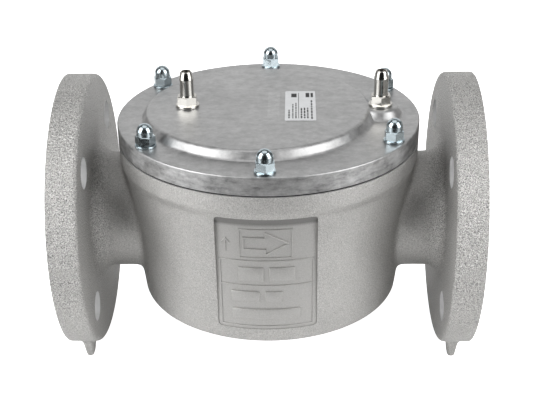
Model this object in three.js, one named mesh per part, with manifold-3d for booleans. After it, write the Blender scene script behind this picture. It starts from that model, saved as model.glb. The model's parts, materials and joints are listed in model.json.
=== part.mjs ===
// Flanged DN 50 gas filter: cast body, bolted round cover, test nipples and filter cartridge.
// Millimetres, +Z up, +X downstream. Heights are counted from the pipe axis, and the whole
// group is lifted so that the feet stand on Z = 0.

import * as THREE from 'three';
import { mergeVertices } from 'three/addons/utils/BufferGeometryUtils.js';
import Module from 'manifold-3d';

const wasm = await Module();
wasm.setup();

// ---------------------------------------------------------------- driving dimensions

const FACE_TO_FACE = 243;
const FLANGE_RADIUS = 82.5;
const FLANGE_THICKNESS = 17.5;
const FLANGE_EDGE_ROUND = 2.5;
const BOLT_CIRCLE_RADIUS = 62.5;
const BOLT_HOLE_RADIUS = 9;
const BORE_RADIUS = 26;
const NECK_RADIUS = 35;
const NECK_FILLET = 8;

const FOOT_BOTTOM = -84.5;
const FOOT_OFFSET = 35;
const FOOT_ROOT = [8.5, 18];
const FOOT_TIP = [4.6, 8];
const FOOT_SINK = 14;

const CUP_BOTTOM = -48;
const CUP_RADIUS_BOTTOM = 79;
const CUP_RADIUS_TOP = 86.5;
const CUP_EDGE_ROUND = 3;
const COLLAR_RADIUS = 88.9;
const COLLAR_BOTTOM = 37.5;
const BODY_TOP = 50.3;

const CHAMBER_RADIUS = 72;
const CHAMBER_FLOOR = -41;
const DECK_TOP = -14;
const DECK_THICKNESS = 5;
const DECK_LEFT = -60;
const PARTITION_LEFT = 54;
const PARTITION_THICKNESS = 5;
const CARTRIDGE_X = -6;
const SEAT_RADIUS = 30;

const GASKET_BOTTOM = 50.35;
const GASKET_THICKNESS = 0.7;
const GASKET_RADIUS = 88.2;

const COVER_BOTTOM = 51.1;
const COVER_RIM_TOP = 62;
const PLATEAU_TOP = 67.2;
const PLATEAU_RADIUS = 65.5;
const PLATEAU_SLOPE = 2;
const NIPPLE_BOSS_RADIUS = 10;
const POCKET_RADIUS = 58;
const POCKET_CEILING = 62.4;
const HOLD_DOWN_RADIUS = 33;
const HOLD_DOWN_WALL = 3;
const HOLD_DOWN_BOTTOM = 58.8;

const STUD_CIRCLE_RADIUS = 82;
const STUD_ANGLES = [-90, -30, 30, 90, 145, 215];
const STUD_RADIUS = 2.9;
const STUD_BOTTOM = 38;
const STUD_TOP = 71.5;
const WASHER_RADIUS = 6;
const WASHER_THICKNESS = 1.4;
const NUT_ACROSS_FLATS = 10;
const NUT_HEX_HEIGHT = 5.4;
const NUT_DOME_RADIUS = 4.65;
const NUT_CHAMFER = 0.7;
const NUT_HEIGHT = 12;
const NUT_BORE_DEPTH = 9.5;
const NUT_TURNS = [6, 4, 22, 3, 17, 29];
const STUD_CHAMFER = 0.6;

const NIPPLE_X = { inlet: -47.5, outlet: 66 };
const NIPPLE_SHANK_RADIUS = 4.85;
const NIPPLE_SHANK_BOTTOM = 60;
const NIPPLE_SEAL_RADIUS = 7;
const NIPPLE_SEAL_THICKNESS = 1.5;
const NIPPLE_ACROSS_FLATS = 11;
const NIPPLE_HEX_HEIGHT = 5.2;
const NIPPLE_STEM_RADIUS = 4.1;
const NIPPLE_TIP_RADIUS = 3.1;
const NIPPLE_TAPER = 3.4;
const NIPPLE_TOP = 88.6;
const NIPPLE_CHANNEL_RADIUS = 1.3;
const NIPPLE_SOCKET_RADIUS = 2.6;
const NIPPLE_SOCKET_DEPTH = 9;

const LABEL_CENTRE = [19, -0.5];
const LABEL_SIZE = [18, 46.5];
const LABEL_THICKNESS = 0.25;

const CARTRIDGE_RADIUS = 48;
const CARTRIDGE_CAP_TOP = 58.5;
const CARTRIDGE_CAP_THICKNESS = 2.5;
const CARTRIDGE_CAP_SKIRT = 6;
const CARTRIDGE_BASE_THICKNESS = 3;
const CARTRIDGE_SEAL_THICKNESS = 1.9;
const CAGE_RADIUS = 38;
const CAGE_WALL = 2;
const CAGE_COLUMNS = 8;
const CAGE_ROWS = 2;
const CAGE_HOOP = 3;
const CAGE_BAR = 3;
const CAGE_SEGMENTS = 32;
const SPIGOT_WALL = 2;
const CAP_SKIRT_WALL = 1.2;

const PANEL_HALF_WIDTH = 28.3;
const PANEL_BOTTOM = -38;
const PANEL_ROOF = 31.5;
const PANEL_TOP = 36.3;
const PANEL_DEPTH_BOTTOM = 0.7;
const PANEL_DEPTH_TOP = 2;
const RELIEF_HEIGHT = 0.7;
const RELIEF_LINE = 1.1;

const ARROW = { tail: -12.5, neck: -0.3, tip: 12.3, shaftHalf: 3.6, headHalf: 7, height: 19.6 };
const ARROW_FRAME = { left: -14.8, right: 14.2, bottom: 10.4, top: 28.4 };
const BLANK_BARS = [
  { left: -16, right: -1.5, bottom: -5, top: 4 },
  { left: 1.5, right: 16, bottom: -5, top: 4 },
  { left: -20, right: -4, bottom: -19, top: -12 },
  { left: -1, right: 9, bottom: -19, top: -12 },
  { left: -20, right: 19, bottom: -31, top: -24 },
];

const GAP = 0.3;
const TOUCH = 0.05;
const PAST = 1;
const ROUND_SEGMENTS = 48;
const SMALL_SEGMENTS = 12;

const flangeInner = FACE_TO_FACE / 2 - FLANGE_THICKNESS;
const nutBase = COVER_RIM_TOP + WASHER_THICKNESS + 2 * TOUCH;
const nippleHexBottom = PLATEAU_TOP + NIPPLE_SEAL_THICKNESS + 2 * TOUCH;
const radians = THREE.MathUtils.degToRad;

// ---------------------------------------------------------------- solids from three.js shapes

// A three.js geometry, its seams joined, as a solid that booleans can cut and join.
function toSolid(geometry) {
  const bare = geometry.clone();
  bare.deleteAttribute('normal');
  bare.deleteAttribute('uv');
  const merged = mergeVertices(bare, 1e-5);
  const vertProperties = new Float32Array(merged.attributes.position.array);
  const triVerts = new Uint32Array(merged.index.array);
  return new wasm.Manifold(new wasm.Mesh({ numProp: 3, vertProperties, triVerts }));
}

// A solid back as a flat-shaded three.js geometry.
function toGeometry(solid) {
  const mesh = solid.getMesh();
  const geometry = new THREE.BufferGeometry();
  geometry.setAttribute('position', new THREE.BufferAttribute(mesh.vertProperties, 3));
  geometry.setIndex(new THREE.BufferAttribute(mesh.triVerts, 1));
  const flat = geometry.toNonIndexed();
  flat.computeVertexNormals();
  return flat;
}

// A profile of [radius, height] corners turned about the Z axis.
function turned(profile, segments = ROUND_SEGMENTS, x = 0, y = 0) {
  const points = profile.map(([radius, height]) => new THREE.Vector2(radius, height));
  const geometry = new THREE.LatheGeometry(points, segments);
  geometry.rotateX(Math.PI / 2);
  geometry.translate(x, y, 0);
  return toSolid(geometry);
}

// The same, turned about the pipe axis instead.
function turnedAlongPipe(profile, segments = ROUND_SEGMENTS) {
  const points = profile.map(([radius, station]) => new THREE.Vector2(radius, station));
  const geometry = new THREE.LatheGeometry(points, segments);
  geometry.rotateZ(-Math.PI / 2);
  return toSolid(geometry);
}

// An upright solid cylinder.
function disc(radius, bottom, top, x = 0, y = 0, segments = ROUND_SEGMENTS) {
  return turned([[0, bottom], [radius, bottom], [radius, top], [0, top]], segments, x, y);
}

// An upright ring with square edges.
function tube(inner, outer, bottom, top, x = 0, y = 0, segments = ROUND_SEGMENTS) {
  const profile = [[inner, bottom], [outer, bottom], [outer, top], [inner, top], [inner, bottom]];
  return turned(profile, segments, x, y);
}

// A round rod lying along the pipe.
function pipeRod(radius, from, to, y = 0, z = 0, segments = SMALL_SEGMENTS) {
  const geometry = new THREE.CylinderGeometry(radius, radius, to - from, segments);
  geometry.rotateZ(-Math.PI / 2);
  geometry.translate((from + to) / 2, y, z);
  return toSolid(geometry);
}

// A box between its lowest and highest corners.
function block(low, high) {
  const size = high.map((value, axis) => value - low[axis]);
  const geometry = new THREE.BoxGeometry(...size);
  geometry.translate(...low.map((value, axis) => value + size[axis] / 2));
  return toSolid(geometry);
}

// An upright hexagonal bar.
function hexagonal(acrossFlats, bottom, top, turnDegrees, x, y) {
  const corner = acrossFlats / Math.sqrt(3);
  const geometry = new THREE.CylinderGeometry(corner, corner, top - bottom, 6);
  geometry.rotateX(Math.PI / 2);
  geometry.rotateZ(radians(turnDegrees));
  geometry.translate(x, y, (bottom + top) / 2);
  return toSolid(geometry);
}

// A quarter circle of [radius, height] points about a centre, between two angles in degrees.
function arc(centreRadius, centreHeight, radius, fromDegrees, toDegrees, steps = 3) {
  return Array.from({ length: steps + 1 }, (_, step) => {
    const angle = radians(fromDegrees + ((toDegrees - fromDegrees) * step) / steps);
    return [centreRadius + radius * Math.cos(angle), centreHeight + radius * Math.sin(angle)];
  });
}

function union(solids) {
  return solids.reduce((whole, piece) => whole.add(piece));
}

// ---------------------------------------------------------------- body casting

// Both flanges and the neck between them, one solid of revolution about the pipe axis.
function flangedPipe() {
  const face = FACE_TO_FACE / 2;
  const filletStart = flangeInner - NECK_FILLET;
  const half = [
    [0, face],
    [FLANGE_RADIUS - 1, face],
    [FLANGE_RADIUS, face - 1],
    ...arc(FLANGE_RADIUS - FLANGE_EDGE_ROUND, flangeInner + FLANGE_EDGE_ROUND, FLANGE_EDGE_ROUND, 0, -90),
    ...arc(NECK_RADIUS + NECK_FILLET, filletStart, NECK_FILLET, 90, 180),
  ];
  const upstream = half.map(([radius, station]) => [radius, -station]);
  return turnedAlongPipe([...upstream, ...half.toReversed()]);
}

// The cup wall leans out evenly from its bottom to the collar.
function cupRadiusAt(height) {
  const share = (height - CUP_BOTTOM) / (COLLAR_BOTTOM - CUP_BOTTOM);
  return CUP_RADIUS_BOTTOM + (CUP_RADIUS_TOP - CUP_RADIUS_BOTTOM) * share;
}

// The cup and the thicker collar that carries the cover.
function cupOutside() {
  const collarStep = 1.2;
  return turned([
    [0, CUP_BOTTOM],
    ...arc(CUP_RADIUS_BOTTOM - CUP_EDGE_ROUND, CUP_BOTTOM + CUP_EDGE_ROUND, CUP_EDGE_ROUND, -90, 0),
    [CUP_RADIUS_TOP, COLLAR_BOTTOM],
    [COLLAR_RADIUS, COLLAR_BOTTOM + collarStep],
    [COLLAR_RADIUS, BODY_TOP],
    [0, BODY_TOP],
  ]);
}

// A tapered foot under the flange rim, so that the body stands without rolling. A four-sided
// cylinder is a frustum; turned by an eighth and scaled, it has the two rectangles given.
function foot(x, y) {
  const rootHeight = -Math.sqrt(FLANGE_RADIUS ** 2 - FOOT_OFFSET ** 2) + FOOT_SINK / 2;
  const height = rootHeight - FOOT_BOTTOM;
  const corner = Math.SQRT1_2;
  const geometry = new THREE.CylinderGeometry(corner, corner, height, 4);
  geometry.rotateX(Math.PI / 2);
  geometry.rotateZ(Math.PI / 4);
  const corners = geometry.attributes.position;
  for (let index = 0; index < corners.count; index += 1) {
    const [width, depth] = corners.getZ(index) > 0 ? FOOT_ROOT : FOOT_TIP;
    corners.setX(index, corners.getX(index) * width);
    corners.setY(index, corners.getY(index) * depth);
  }
  geometry.translate(x, y, FOOT_BOTTOM + height / 2);
  return toSolid(geometry);
}

// The gas spaces: cartridge chamber over the deck, channel under it, outlet duct behind the
// partition, the seat hole that joins the first two, and the two bores.
function gasSpaces() {
  const wide = 2 * CHAMBER_RADIUS;
  const deckBottom = DECK_TOP - DECK_THICKNESS;
  const partitionRight = PARTITION_LEFT + PARTITION_THICKNESS;
  const above = BODY_TOP + PAST;
  const chamber = disc(CHAMBER_RADIUS, DECK_TOP, above)
    .intersect(block([-wide, -wide, DECK_TOP - PAST], [PARTITION_LEFT, wide, above + PAST]));
  const channel = disc(CHAMBER_RADIUS, CHAMBER_FLOOR, deckBottom)
    .intersect(block([DECK_LEFT, -wide, CHAMBER_FLOOR - PAST], [wide, wide, 0]));
  const duct = disc(CHAMBER_RADIUS, CHAMBER_FLOOR, above)
    .intersect(block([partitionRight, -wide, CHAMBER_FLOOR - PAST], [wide, wide, above + PAST]));
  const seat = disc(SEAT_RADIUS, deckBottom - PAST, DECK_TOP + PAST, CARTRIDGE_X);
  const beyondFace = FACE_TO_FACE / 2 + PAST;
  const insideWall = Math.sqrt(CHAMBER_RADIUS ** 2 - BORE_RADIUS ** 2) - PAST;
  const inlet = pipeRod(BORE_RADIUS, -beyondFace, -insideWall, 0, 0, ROUND_SEGMENTS);
  const outlet = pipeRod(BORE_RADIUS, partitionRight + PAST, beyondFace, 0, 0, ROUND_SEGMENTS);
  return union([chamber, channel, duct, seat, inlet, outlet]);
}

// Four holes through each flange, straddling the upright.
function flangeBoltHoles() {
  const outside = FACE_TO_FACE / 2 + PAST;
  const inside = flangeInner - PAST;
  const holes = [];
  for (const degrees of [45, 135, 225, 315]) {
    const y = BOLT_CIRCLE_RADIUS * Math.cos(radians(degrees));
    const z = BOLT_CIRCLE_RADIUS * Math.sin(radians(degrees));
    holes.push(pipeRod(BOLT_HOLE_RADIUS, -outside, -inside, y, z));
    holes.push(pipeRod(BOLT_HOLE_RADIUS, inside, outside, y, z));
  }
  return union(holes);
}

// Where a stud stands on its circle.
function studPlace(index) {
  const angle = radians(STUD_ANGLES[index]);
  return [STUD_CIRCLE_RADIUS * Math.cos(angle), STUD_CIRCLE_RADIUS * Math.sin(angle)];
}

// The six stud holes through one layer.
function studHoles(radius, bottom, top) {
  const holes = STUD_ANGLES.map((_, index) => {
    const [x, y] = studPlace(index);
    return disc(radius, bottom, top, x, y, SMALL_SEGMENTS);
  });
  return union(holes);
}

// What stays of the cup behind the front panel, grown outward by `raise`. The floor sinks deeper
// towards the top, where a sloped roof brings it back out just past the wall.
function cupBehindPanel(raise) {
  return turned([
    [0, PANEL_BOTTOM],
    [cupRadiusAt(PANEL_BOTTOM) - PANEL_DEPTH_BOTTOM + raise, PANEL_BOTTOM],
    [cupRadiusAt(PANEL_ROOF) - PANEL_DEPTH_TOP + raise, PANEL_ROOF],
    [cupRadiusAt(PANEL_TOP) + GAP + raise, PANEL_TOP],
    [0, PANEL_TOP],
  ]);
}

// A flat outline in x and height, pushed through the front wall of the cup.
function throughFront(shape) {
  const depth = 26;
  const front = COLLAR_RADIUS + PAST;
  const geometry = new THREE.ExtrudeGeometry(shape, { depth, bevelEnabled: false });
  geometry.rotateX(Math.PI / 2);
  geometry.translate(0, depth - front, 0);
  return toSolid(geometry);
}

// An upright rectangle, drawn in by `inset` on every side.
function rectangle({ left, right, bottom, top }, inset = 0) {
  return new THREE.Shape([
    new THREE.Vector2(left + inset, bottom + inset),
    new THREE.Vector2(right - inset, bottom + inset),
    new THREE.Vector2(right - inset, top - inset),
    new THREE.Vector2(left + inset, top - inset),
  ]);
}

// The sunk panel on the front wall.
function panelRecess() {
  const panel = { left: -PANEL_HALF_WIDTH, right: PANEL_HALF_WIDTH, bottom: PANEL_BOTTOM, top: PANEL_TOP };
  return throughFront(rectangle(panel)).subtract(cupBehindPanel(0));
}

// The flow arrow's outline, drawn in by `inset`: the tip and the barbs move in further than the
// straight sides, because they are sharp.
function arrowOutline(inset) {
  const { tail, neck, tip, shaftHalf, headHalf } = ARROW;
  const shaft = shaftHalf - inset;
  const head = headHalf - 2 * inset;
  return new THREE.Shape([
    new THREE.Vector2(tail + inset, -shaft),
    new THREE.Vector2(neck + inset, -shaft),
    new THREE.Vector2(neck + inset, -head),
    new THREE.Vector2(tip - 2 * inset, 0),
    new THREE.Vector2(neck + inset, head),
    new THREE.Vector2(neck + inset, shaft),
    new THREE.Vector2(tail + inset, shaft),
  ]);
}

// The raised marks on the panel: a framed flow arrow, pointing downstream, and blank bars.
function panelRelief() {
  const frame = throughFront(rectangle(ARROW_FRAME))
    .subtract(throughFront(rectangle(ARROW_FRAME, RELIEF_LINE)));
  const arrow = throughFront(arrowOutline(0))
    .subtract(throughFront(arrowOutline(RELIEF_LINE)))
    .translate(0, 0, ARROW.height);
  const bars = BLANK_BARS.map((bar) => throughFront(rectangle(bar)));
  return union([frame, arrow, ...bars]).intersect(cupBehindPanel(RELIEF_HEIGHT));
}

// The whole casting: outside, panel, gas spaces and holes.
function filterBody() {
  const footX = (FACE_TO_FACE - FLANGE_THICKNESS) / 2;
  const feet = [];
  for (const side of [-1, 1]) {
    for (const end of [-1, 1]) {
      feet.push(foot(side * footX, end * FOOT_OFFSET));
    }
  }
  const outside = union([flangedPipe(), cupOutside(), ...feet]);
  return outside
    .subtract(panelRecess())
    .add(panelRelief())
    .subtract(gasSpaces())
    .subtract(flangeBoltHoles())
    .subtract(studHoles(STUD_RADIUS + GAP, STUD_BOTTOM - PAST, BODY_TOP + PAST));
}

// Flat gasket between body and cover, with a web over the partition's top edge.
function coverGasket() {
  const top = GASKET_BOTTOM + GASKET_THICKNESS;
  const ring = tube(CHAMBER_RADIUS, GASKET_RADIUS, GASKET_BOTTOM, top);
  const webHalf = Math.sqrt(CHAMBER_RADIUS ** 2 - PARTITION_LEFT ** 2) + PAST;
  const web = block(
    [PARTITION_LEFT, -webHalf, GASKET_BOTTOM],
    [PARTITION_LEFT + PARTITION_THICKNESS, webHalf, top],
  );
  return ring.add(web).subtract(studHoles(STUD_RADIUS + GAP, GASKET_BOTTOM - PAST, top + PAST));
}

// ---------------------------------------------------------------- cover and its fasteners

// A round boss that narrows upwards.
function frustum(bottomRadius, topRadius, bottom, top, x) {
  return turned([[0, bottom], [bottomRadius, bottom], [topRadius, top], [0, top]], ROUND_SEGMENTS, x);
}

// The cover: rim, raised plateau off the middle, a boss for the outlet nipple, and underneath a
// pocket for the cartridge with the ring that holds it down.
function cover() {
  const edge = 0.6;
  const rootHeight = COVER_RIM_TOP - 2;
  const rim = turned([
    [0, COVER_BOTTOM],
    [COLLAR_RADIUS, COVER_BOTTOM],
    [COLLAR_RADIUS, COVER_RIM_TOP - edge],
    [COLLAR_RADIUS - edge, COVER_RIM_TOP],
    [0, COVER_RIM_TOP],
  ]);
  const plateauFoot = PLATEAU_RADIUS + PLATEAU_SLOPE;
  const plateau = frustum(plateauFoot, PLATEAU_RADIUS, rootHeight, PLATEAU_TOP, CARTRIDGE_X);
  const bossFoot = NIPPLE_BOSS_RADIUS + PLATEAU_SLOPE;
  const boss = frustum(bossFoot, NIPPLE_BOSS_RADIUS, rootHeight, PLATEAU_TOP, NIPPLE_X.outlet);
  const pocket = disc(POCKET_RADIUS, COVER_BOTTOM - PAST, POCKET_CEILING, CARTRIDGE_X);
  const ringInner = HOLD_DOWN_RADIUS - HOLD_DOWN_WALL;
  const ringTop = POCKET_CEILING + PAST;
  const holdDown = tube(ringInner, HOLD_DOWN_RADIUS, HOLD_DOWN_BOTTOM, ringTop, CARTRIDGE_X);
  const threads = Object.values(NIPPLE_X).map(
    (x) => disc(NIPPLE_SHANK_RADIUS + GAP, COVER_BOTTOM - PAST, PLATEAU_TOP + PAST, x, 0, SMALL_SEGMENTS),
  );
  return union([rim, plateau, boss])
    .subtract(pocket)
    .add(holdDown)
    .subtract(union(threads))
    .subtract(studHoles(STUD_RADIUS + 2 * GAP, COVER_BOTTOM - PAST, COVER_RIM_TOP + PAST));
}

// A stud with a chamfer at each end.
function stud(x, y) {
  return turned([
    [0, STUD_BOTTOM],
    [STUD_RADIUS - STUD_CHAMFER, STUD_BOTTOM],
    [STUD_RADIUS, STUD_BOTTOM + STUD_CHAMFER],
    [STUD_RADIUS, STUD_TOP - STUD_CHAMFER],
    [STUD_RADIUS - STUD_CHAMFER, STUD_TOP],
    [0, STUD_TOP],
  ], SMALL_SEGMENTS, x, y);
}

function washer(x, y) {
  const inner = STUD_RADIUS + 2 * GAP;
  const bottom = COVER_RIM_TOP + TOUCH;
  return tube(inner, WASHER_RADIUS, bottom, bottom + WASHER_THICKNESS, x, y, SMALL_SEGMENTS);
}

// Domed cap nut: hexagon with chamfered corners, round dome, blind hole from below.
function capNut(x, y, turnDegrees) {
  const hexTop = nutBase + NUT_HEX_HEIGHT;
  const corner = NUT_ACROSS_FLATS / Math.sqrt(3);
  const chamferedRound = turned([
    [0, nutBase],
    [corner - NUT_CHAMFER, nutBase],
    [corner, nutBase + NUT_CHAMFER],
    [corner, hexTop - NUT_CHAMFER],
    [corner - NUT_CHAMFER, hexTop],
    [0, hexTop],
  ], SMALL_SEGMENTS, x, y);
  const hexagon = hexagonal(NUT_ACROSS_FLATS, nutBase - PAST, hexTop + PAST, turnDegrees, x, y)
    .intersect(chamferedRound);
  const domeCentre = nutBase + NUT_HEIGHT - NUT_DOME_RADIUS;
  const dome = turned([
    [0, hexTop - PAST],
    [NUT_DOME_RADIUS, hexTop - PAST],
    ...arc(0, domeCentre, NUT_DOME_RADIUS, 0, 75),
    [0, nutBase + NUT_HEIGHT],
  ], SMALL_SEGMENTS, x, y);
  const boreTop = nutBase + NUT_BORE_DEPTH;
  const bore = disc(STUD_RADIUS + GAP, nutBase - PAST, boreTop, x, y, SMALL_SEGMENTS);
  return hexagon.add(dome).subtract(bore);
}

// ---------------------------------------------------------------- test nipples

// A test nipple: threaded shank, hexagon, stem with a tapered tip, and a socket for its screw.
function testNipple(x) {
  const hexTop = nippleHexBottom + NIPPLE_HEX_HEIGHT;
  const socketBottom = NIPPLE_TOP - NIPPLE_SOCKET_DEPTH;
  const stem = turned([
    [0, NIPPLE_SHANK_BOTTOM],
    [NIPPLE_SHANK_RADIUS, NIPPLE_SHANK_BOTTOM],
    [NIPPLE_SHANK_RADIUS, hexTop - PAST],
    [NIPPLE_STEM_RADIUS, hexTop - PAST],
    [NIPPLE_STEM_RADIUS, NIPPLE_TOP - NIPPLE_TAPER],
    [NIPPLE_TIP_RADIUS, NIPPLE_TOP],
    [0, NIPPLE_TOP],
  ], SMALL_SEGMENTS, x);
  const hexagon = hexagonal(NIPPLE_ACROSS_FLATS, nippleHexBottom, hexTop, 0, x, 0);
  const below = NIPPLE_SHANK_BOTTOM - PAST;
  const channel = disc(NIPPLE_CHANNEL_RADIUS, below, socketBottom + PAST, x, 0, SMALL_SEGMENTS);
  const socket = disc(NIPPLE_SOCKET_RADIUS, socketBottom, NIPPLE_TOP + PAST, x, 0, SMALL_SEGMENTS);
  return stem.add(hexagon).subtract(channel).subtract(socket);
}

function nippleSeal(x) {
  const inner = NIPPLE_SHANK_RADIUS + GAP;
  const bottom = PLATEAU_TOP + TOUCH;
  return tube(inner, NIPPLE_SEAL_RADIUS, bottom, bottom + NIPPLE_SEAL_THICKNESS, x, 0, SMALL_SEGMENTS);
}

// Slotted sealing screw, whose cone closes the channel at the bottom of the socket.
function nippleScrew(x) {
  const radius = NIPPLE_SOCKET_RADIUS - GAP;
  const bottom = NIPPLE_TOP - NIPPLE_SOCKET_DEPTH + TOUCH;
  const top = NIPPLE_TOP - 0.8;
  const coneHeight = 1.4;
  const slotHalf = 0.45;
  const slotBottom = top - 1.2;
  const across = radius + PAST;
  const shaft = turned([
    [0, bottom],
    [NIPPLE_CHANNEL_RADIUS - GAP, bottom],
    [radius, bottom + coneHeight],
    [radius, top],
    [0, top],
  ], SMALL_SEGMENTS, x);
  return shaft.subtract(block([x - slotHalf, -across, slotBottom], [x + slotHalf, across, top + PAST]));
}

// The sticker on the plateau.
function nameLabel() {
  const bottom = PLATEAU_TOP + TOUCH;
  const [x, y] = LABEL_CENTRE;
  const [width, length] = LABEL_SIZE;
  return block(
    [x - width / 2, y - length / 2, bottom],
    [x + width / 2, y + length / 2, bottom + LABEL_THICKNESS],
  );
}

// ---------------------------------------------------------------- filter cartridge

const sealBottom = DECK_TOP + TOUCH;
const baseBottom = sealBottom + CARTRIDGE_SEAL_THICKNESS + TOUCH;
const baseTop = baseBottom + CARTRIDGE_BASE_THICKNESS;
const capBottom = CARTRIDGE_CAP_TOP - CARTRIDGE_CAP_THICKNESS;

// Flat ring seal between the cartridge and the seat.
function cartridgeSeal() {
  const inner = SEAT_RADIUS + 2;
  const outer = SEAT_RADIUS + 10;
  return tube(inner, outer, sealBottom, sealBottom + CARTRIDGE_SEAL_THICKNESS, CARTRIDGE_X);
}

// Base ring with the spigot that drops into the seat hole.
function cartridgeBase() {
  const spigotOuter = SEAT_RADIUS - 2 * GAP;
  const spigotInner = spigotOuter - SPIGOT_WALL;
  const spigotBottom = DECK_TOP - DECK_THICKNESS + PAST;
  return turned([
    [spigotInner, spigotBottom],
    [spigotOuter, spigotBottom],
    [spigotOuter, baseBottom],
    [CARTRIDGE_RADIUS, baseBottom],
    [CARTRIDGE_RADIUS, baseTop],
    [spigotInner, baseTop],
    [spigotInner, spigotBottom],
  ], ROUND_SEGMENTS, CARTRIDGE_X);
}

// Support tube with rows of windows between its bars and hoops.
function cartridgeCage() {
  const bottom = baseTop + TOUCH;
  const top = capBottom - TOUCH;
  const wall = tube(CAGE_RADIUS - CAGE_WALL, CAGE_RADIUS, bottom, top, 0, 0, CAGE_SEGMENTS);
  const windowHeight = (top - bottom - CAGE_HOOP * (CAGE_ROWS + 1)) / CAGE_ROWS;
  const halfWidth = CAGE_RADIUS * Math.sin(Math.PI / CAGE_COLUMNS) - CAGE_BAR / 2;
  const windows = [];
  for (let column = 0; column < CAGE_COLUMNS; column += 1) {
    for (let row = 0; row < CAGE_ROWS; row += 1) {
      const low = bottom + CAGE_HOOP + row * (windowHeight + CAGE_HOOP);
      const opening = block([0, -halfWidth, low], [CAGE_RADIUS + PAST, halfWidth, low + windowHeight]);
      windows.push(opening.rotate(0, 0, (column * 360) / CAGE_COLUMNS));
    }
  }
  return wall.subtract(union(windows)).translate(CARTRIDGE_X, 0, 0);
}

// The filter fleece, a plain tube round the cage.
function cartridgeFleece() {
  const outer = CARTRIDGE_RADIUS - 2 * GAP;
  return tube(CAGE_RADIUS + GAP, outer, baseTop + GAP, capBottom - GAP, CARTRIDGE_X);
}

// The closed cap, whose skirt holds the top of the fleece.
function cartridgeCap() {
  const skirtOuter = CARTRIDGE_RADIUS + CAP_SKIRT_WALL;
  return turned([
    [0, capBottom],
    [CARTRIDGE_RADIUS, capBottom],
    [CARTRIDGE_RADIUS, capBottom - CARTRIDGE_CAP_SKIRT],
    [skirtOuter, capBottom - CARTRIDGE_CAP_SKIRT],
    [skirtOuter, CARTRIDGE_CAP_TOP],
    [0, CARTRIDGE_CAP_TOP],
  ], ROUND_SEGMENTS, CARTRIDGE_X);
}

// ---------------------------------------------------------------- materials and assembly

// A material maker, so that every piece gets a material of its own.
function finish(color, roughness, metalness) {
  return () => new THREE.MeshStandardMaterial({ color, roughness, metalness });
}

const shotBlastedCasting = finish(0xb9b9b7, 0.55, 0.9);
const dieCastCover = finish(0xa6a8aa, 0.5, 0.9);
const blackRubber = finish(0x1b1b1c, 0.8, 0);
const zincPlate = finish(0xc6d0d6, 0.22, 1);
const nickelPlate = finish(0xe2e2e0, 0.12, 1);
const darkScrew = finish(0x6c6a66, 0.35, 1);
const silverLabel = finish(0xd6d7d8, 0.45, 0.2);
const galvanisedSheet = finish(0xa9adb0, 0.4, 1);
const whiteFleece = finish(0xe9e8e2, 1, 0);

const filter = new THREE.Group();
filter.position.z = -FOOT_BOTTOM;

// Adds one named piece to the group.
function place(name, solid, material) {
  const mesh = new THREE.Mesh(toGeometry(solid), material());
  mesh.name = name;
  filter.add(mesh);
}

place('filter_body', filterBody(), shotBlastedCasting);
place('cover_gasket', coverGasket(), blackRubber);
place('cover', cover(), dieCastCover);
place('name_label', nameLabel(), silverLabel);

STUD_ANGLES.forEach((_, index) => {
  const [x, y] = studPlace(index);
  const number = index + 1;
  place(`stud_${number}`, stud(x, y), zincPlate);
  place(`washer_${number}`, washer(x, y), zincPlate);
  place(`cap_nut_${number}`, capNut(x, y, NUT_TURNS[index]), zincPlate);
});

for (const [side, x] of Object.entries(NIPPLE_X)) {
  place(`test_nipple_${side}`, testNipple(x), nickelPlate);
  place(`nipple_seal_${side}`, nippleSeal(x), nickelPlate);
  place(`nipple_screw_${side}`, nippleScrew(x), darkScrew);
}

place('cartridge_seal', cartridgeSeal(), blackRubber);
place('cartridge_base', cartridgeBase(), galvanisedSheet);
place('cartridge_cage', cartridgeCage(), galvanisedSheet);
place('cartridge_fleece', cartridgeFleece(), whiteFleece);
place('cartridge_cap', cartridgeCap(), galvanisedSheet);

export default filter;
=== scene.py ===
"""Flanged DN 50 gas filter: the finished surfaces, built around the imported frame."""

import json
import math
import random

import bmesh
import bpy
from mathutils import Matrix, Vector, noise


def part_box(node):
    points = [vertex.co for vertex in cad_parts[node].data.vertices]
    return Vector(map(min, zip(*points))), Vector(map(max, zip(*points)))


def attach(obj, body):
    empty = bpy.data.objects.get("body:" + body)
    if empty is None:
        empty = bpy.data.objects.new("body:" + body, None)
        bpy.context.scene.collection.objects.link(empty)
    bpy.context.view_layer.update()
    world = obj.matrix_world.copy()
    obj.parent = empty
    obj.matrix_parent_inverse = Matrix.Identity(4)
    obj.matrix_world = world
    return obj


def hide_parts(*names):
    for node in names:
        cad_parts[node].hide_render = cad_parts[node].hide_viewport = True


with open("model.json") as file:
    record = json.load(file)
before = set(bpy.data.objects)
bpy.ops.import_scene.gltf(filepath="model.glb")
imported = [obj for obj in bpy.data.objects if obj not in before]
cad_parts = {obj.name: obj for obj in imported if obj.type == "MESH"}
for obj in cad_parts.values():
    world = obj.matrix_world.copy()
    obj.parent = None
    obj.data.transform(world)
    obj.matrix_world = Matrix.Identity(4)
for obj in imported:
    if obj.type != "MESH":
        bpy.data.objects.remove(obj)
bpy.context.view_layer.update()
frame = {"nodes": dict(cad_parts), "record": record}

bl_info = {
    "name": "Flanged gas filter",
    "version": (1, 0, 0),
    "blender": (4, 5, 0),
    "location": "3D View > Sidebar > Gas filter",
    "description": "Builds the castings, fasteners, nipples, label and cartridge of a flanged gas filter",
    "category": "Object",
}

MM = 0.001
CASTING_VOXEL = 1.05 * MM
CASTING_TRIANGLES = 150_000

# ------------------------------------------------------------------ places taken from the frame


def opening_middle(name):
    """The middle of one of the openings that the record states."""
    for opening in frame["record"]["physics"]["openings"]:
        if opening["name"] == name:
            low, high = opening["box_m"]
            return (Vector(low) + Vector(high)) / 2
    raise RuntimeError("the record states no opening named " + name)


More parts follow.
